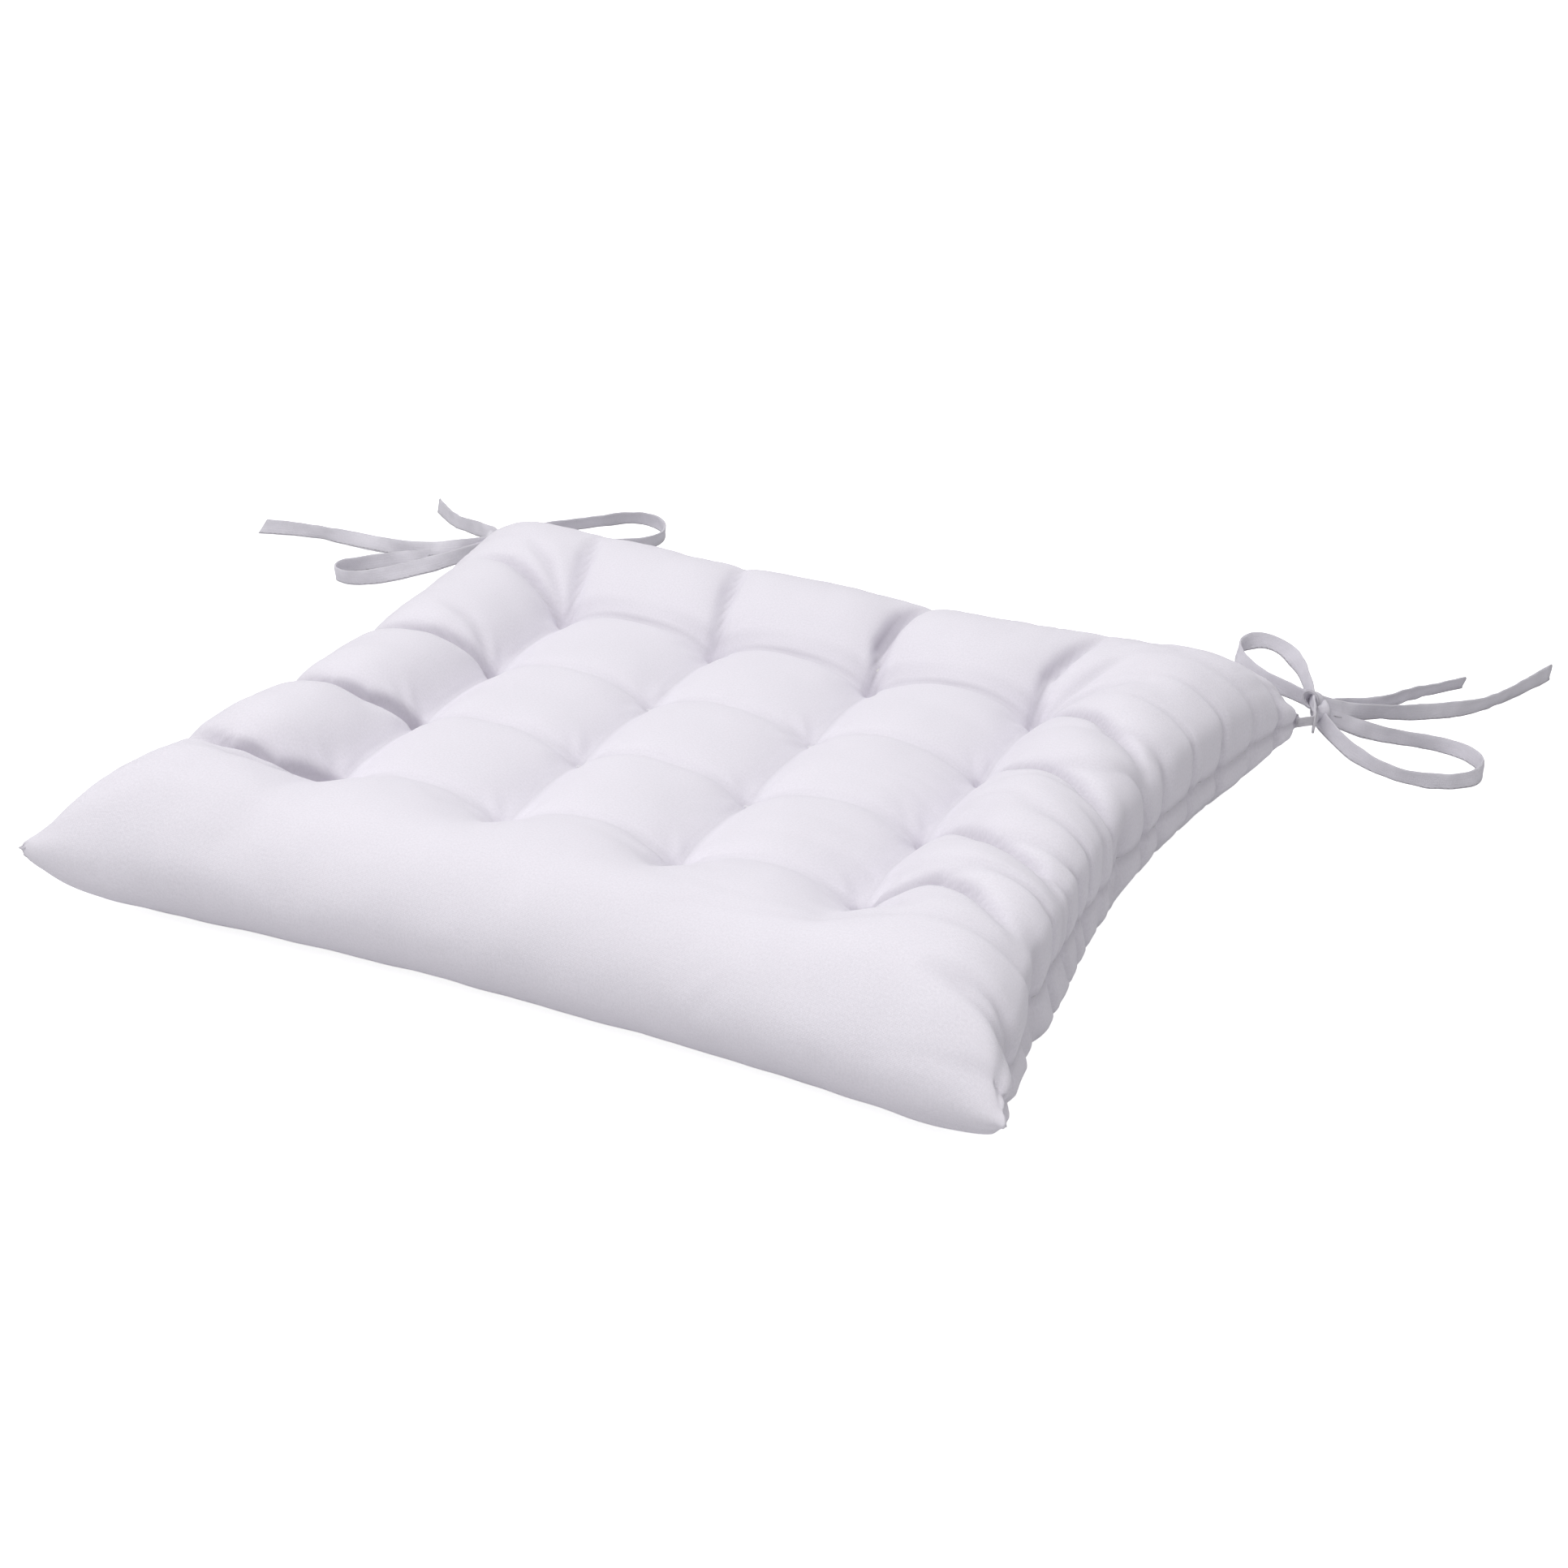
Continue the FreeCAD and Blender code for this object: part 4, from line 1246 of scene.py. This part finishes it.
class SEATPAD_OT_tufts(bpy.types.Operator):
    """Sew a bar tack into the top and the underside of each tuft, joined by its thread"""

    bl_idname = "seat_pad.tufts"
    bl_label = "Tufts"

    def execute(self, context):
        points = get_points(bpy.data.objects["cover_cloth"].data)
        cut = read_cut(bpy.data.objects["cover_cloth"].data)
        thread = settings("ties").thread
        model = strand_model()
        for row in range(ROWS):
            for column in range(COLUMNS):
                place = np.array([(column - 1.5) * CUT_PITCH_U, (row - 1.5) * CUT_PITCH_V])
                strands = []
                ends = []
                for face in (1, -1):
                    off = np.linalg.norm(cut[:, :2] - place, axis=1) + (cut[:, 2] != face)
                    middle = Vector(points[int(np.argmin(off))])
                    ends.append(middle)
                    for shift in (-1.0, 0.0, 1.0):
                        across = Vector((TUFT_HALF_WIDTH, 0.0, 0.0))
                        beside = Vector((0, shift * 0.75 * thread, face * 0.0002))
                        strands.append(lay_strand(model, middle - across + beside,
                                                  middle + across + beside, thread,
                                                  (0, 0, face * 0.0004)))
                strands.append(lay_strand(model, ends[1], ends[0], 1.4 * thread, (0, 0, 0)))
                name = f"tuft_thread_{row + 1}{column + 1}"
                hand_over(join(strands, name + "_sewn"), "pad", "thread", name)
        bpy.data.objects.remove(model)
        return {"FINISHED"}


class SEATPAD_OT_seams(bpy.types.Operator):
    """Sew the seams along both sides and the rear"""

    bl_idname = "seat_pad.seams"
    bl_label = "Seams"

    def execute(self, context):
        mesh = bpy.data.objects["cover_cloth"].data
        points = get_points(mesh)
        normals = get_normals(mesh)
        cut = read_cut(mesh)
        u, v = cut[:, 0], cut[:, 1]
        left, right, _, rear = rim_distances(u, v)
        ties = settings("ties")
        model = strand_model()
        on_rim = CUT_CELL / 20
        for name, away, along in (("left", left, v), ("right", right, v), ("rear", rear, u)):
            rim = np.nonzero(away < on_rim)[0]
            rim = rim[np.argsort(along[rim])]
            line, outward = points[rim], normals[rim]
            gone = lengths_along(line)
            strands = []
            start = SEAM_END_MARGIN
            while start + ties.stitch < gone[-1] - SEAM_END_MARGIN:
                ends = []
                for place in (start, start + ties.stitch):
                    point = [np.interp(place, gone, line[:, k]) for k in range(3)]
                    out = [np.interp(place, gone, outward[:, k]) for k in range(3)]
                    ends.append((Vector(point), Vector(out).normalized()))
                sink = (ends[0][1] + ends[1][1]).normalized() * SEAM_SINK
                strands.append(lay_strand(model, ends[0][0] - sink, ends[1][0] - sink, ties.thread, sink))
                start += ties.stitch_pitch
            node = f"seam_thread_{name}"
            hand_over(join(strands, node + "_sewn"), "pad", "thread", node)
        bpy.data.objects.remove(model)
        return {"FINISHED"}


class SEATPAD_OT_corner_tacks(bpy.types.Operator):
    """Whip each pair of ties to its rear corner with thread"""

    bl_idname = "seat_pad.corner_tacks"
    bl_label = "Corner tacks"

    def execute(self, context):
        points = get_points(bpy.data.objects["cover_cloth"].data)
        thread = settings("ties").thread
        model = strand_model()
        for side, name in ((1, "corner_tack_right"), (-1, "corner_tack_left")):
            low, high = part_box(name)
            outer = high.x if side > 0 else low.x
            post = Vector((outer - side * 0.0006, high.y - 0.0006, 0))
            tip = Vector(points[nearest_point(points, (side * CAD_HALF_X, CAD_HALF_Y, 0.027))])
            strands = []
            for turn in range(POST_STRANDS):
                angle = 2 * math.pi * turn / POST_STRANDS
                off = Vector((math.cos(angle), math.sin(angle), 0)) * 0.55 * thread
                strands.append(lay_strand(model, post + off + Vector((0, 0, low.z)),
                                          post + off + Vector((0, 0, high.z)), thread, (0, 0, 0)))
            for step in range(TACK_STRANDS):
                height = tip.z + (step - (TACK_STRANDS - 1) / 2) * 0.8 * thread
                inner = tip - Vector((side * 0.0035, 0.0035, 0))
                strands.append(lay_strand(model, Vector((inner.x, inner.y, height)),
                                          Vector((post.x + side * 0.0003, post.y + 0.0003, height)),
                                          thread, (0, 0, 0.0002)))
            hand_over(join(strands, name + "_sewn"), "pad", "thread", name)
        bpy.data.objects.remove(model)
        return {"FINISHED"}


class SEATPAD_OT_stage(bpy.types.Operator):
    """Put the pad on a plain white floor under soft light, and aim the camera"""

    bl_idname = "seat_pad.stage"
    bl_label = "Stage"

    def execute(self, context):
        stage = settings("stage")
        scene = context.scene
        deselect()
        bpy.ops.mesh.primitive_plane_add(size=FLOOR_SIZE)
        floor = context.active_object
        floor.name = "floor"
        material, tree, shader = new_material("floor_paint", 0.9, 0.0)
        shader.inputs["Base Color"].default_value = FLOOR_COLOUR
        shader.inputs["Emission Color"].default_value = (1, 1, 1, 1)
        seen = add_node(tree, "ShaderNodeLightPath").outputs["Is Camera Ray"]
        tree.links.new(math_node(tree, "MULTIPLY", seen, FLOOR_GLOW), shader.inputs["Emission Strength"])
        floor.data.materials.append(material)

        world = bpy.data.worlds.new("soft_room")
        world.use_nodes = True
        sky = world.node_tree.nodes["Background"]
        sky.inputs["Color"].default_value = (1, 1, 1, 1)
        sky.inputs["Strength"].default_value = stage.fill
        scene.world = world
        scene.view_settings.view_transform = "Standard"

        for name, place, size, power, colour in LIGHTS:
            light = bpy.data.lights.new(name, "AREA")
            light.size = size
            light.energy = power * stage.key
            light.color = colour
            lamp = bpy.data.objects.new(name, light)
            lamp.location = place
            lamp.rotation_euler = (-Vector(place)).to_track_quat("-Z", "Y").to_euler()
            scene.collection.objects.link(lamp)

        turn, rise = stage.azimuth, stage.elevation
        back = Vector((math.sin(turn) * math.cos(rise), -math.cos(turn) * math.cos(rise),
                       math.sin(rise)))
        right = Vector((math.cos(turn), math.sin(turn), 0))
        up = back.cross(right)
        right, up = (right * math.cos(stage.roll) - up * math.sin(stage.roll),
                     up * math.cos(stage.roll) + right * math.sin(stage.roll))
        axes = Matrix((right, up, back)).transposed()
        lens = bpy.data.cameras.new("camera")
        lens.sensor_width = 36
        lens.lens = stage.lens
        camera = bpy.data.objects.new("camera", lens)
        camera.matrix_world = Matrix.Translation(Vector(stage.aim) + back * stage.distance) @ axes.to_4x4()
        scene.collection.objects.link(camera)
        scene.camera = camera
        return {"FINISHED"}


class SEATPAD_PT_panel(bpy.types.Panel):
    """Steps that make the seat pad, in their order"""

    bl_label = "Seat pad"
    bl_idname = "SEATPAD_PT_panel"
    bl_space_type = "VIEW_3D"
    bl_region_type = "UI"
    bl_category = "Seat pad"

    def draw(self, context):
        for step in STEPS:
            self.layout.operator(step.bl_idname)
        for group in GROUPS:
            box = self.layout.box()
            held = settings(group)
            for name in GROUPS[group].__annotations__:
                box.prop(held, name)


STEPS = (SEATPAD_OT_stage, SEATPAD_OT_ties, SEATPAD_OT_cover, SEATPAD_OT_tufts, SEATPAD_OT_seams,
         SEATPAD_OT_corner_tacks)
GROUPS = {"shape": SeatPadShape, "filling": SeatPadFilling, "ties": SeatPadTies,
          "colours": SeatPadColours, "stage": SeatPadStage}


def register():
    for kind in (*GROUPS.values(), *STEPS, SEATPAD_PT_panel):
        bpy.utils.register_class(kind)
    for group, kind in GROUPS.items():
        setattr(bpy.types.Scene, "seat_pad_" + group, PointerProperty(type=kind))


def unregister():
    for group in GROUPS:
        delattr(bpy.types.Scene, "seat_pad_" + group)
    for kind in (SEATPAD_PT_panel, *reversed(STEPS), *GROUPS.values()):
        bpy.utils.unregister_class(kind)


def main():
    register()
    for step in STEPS:
        family, action = step.bl_idname.split(".")
        getattr(getattr(bpy.ops, family), action)()


if __name__ == "__main__":
    main()
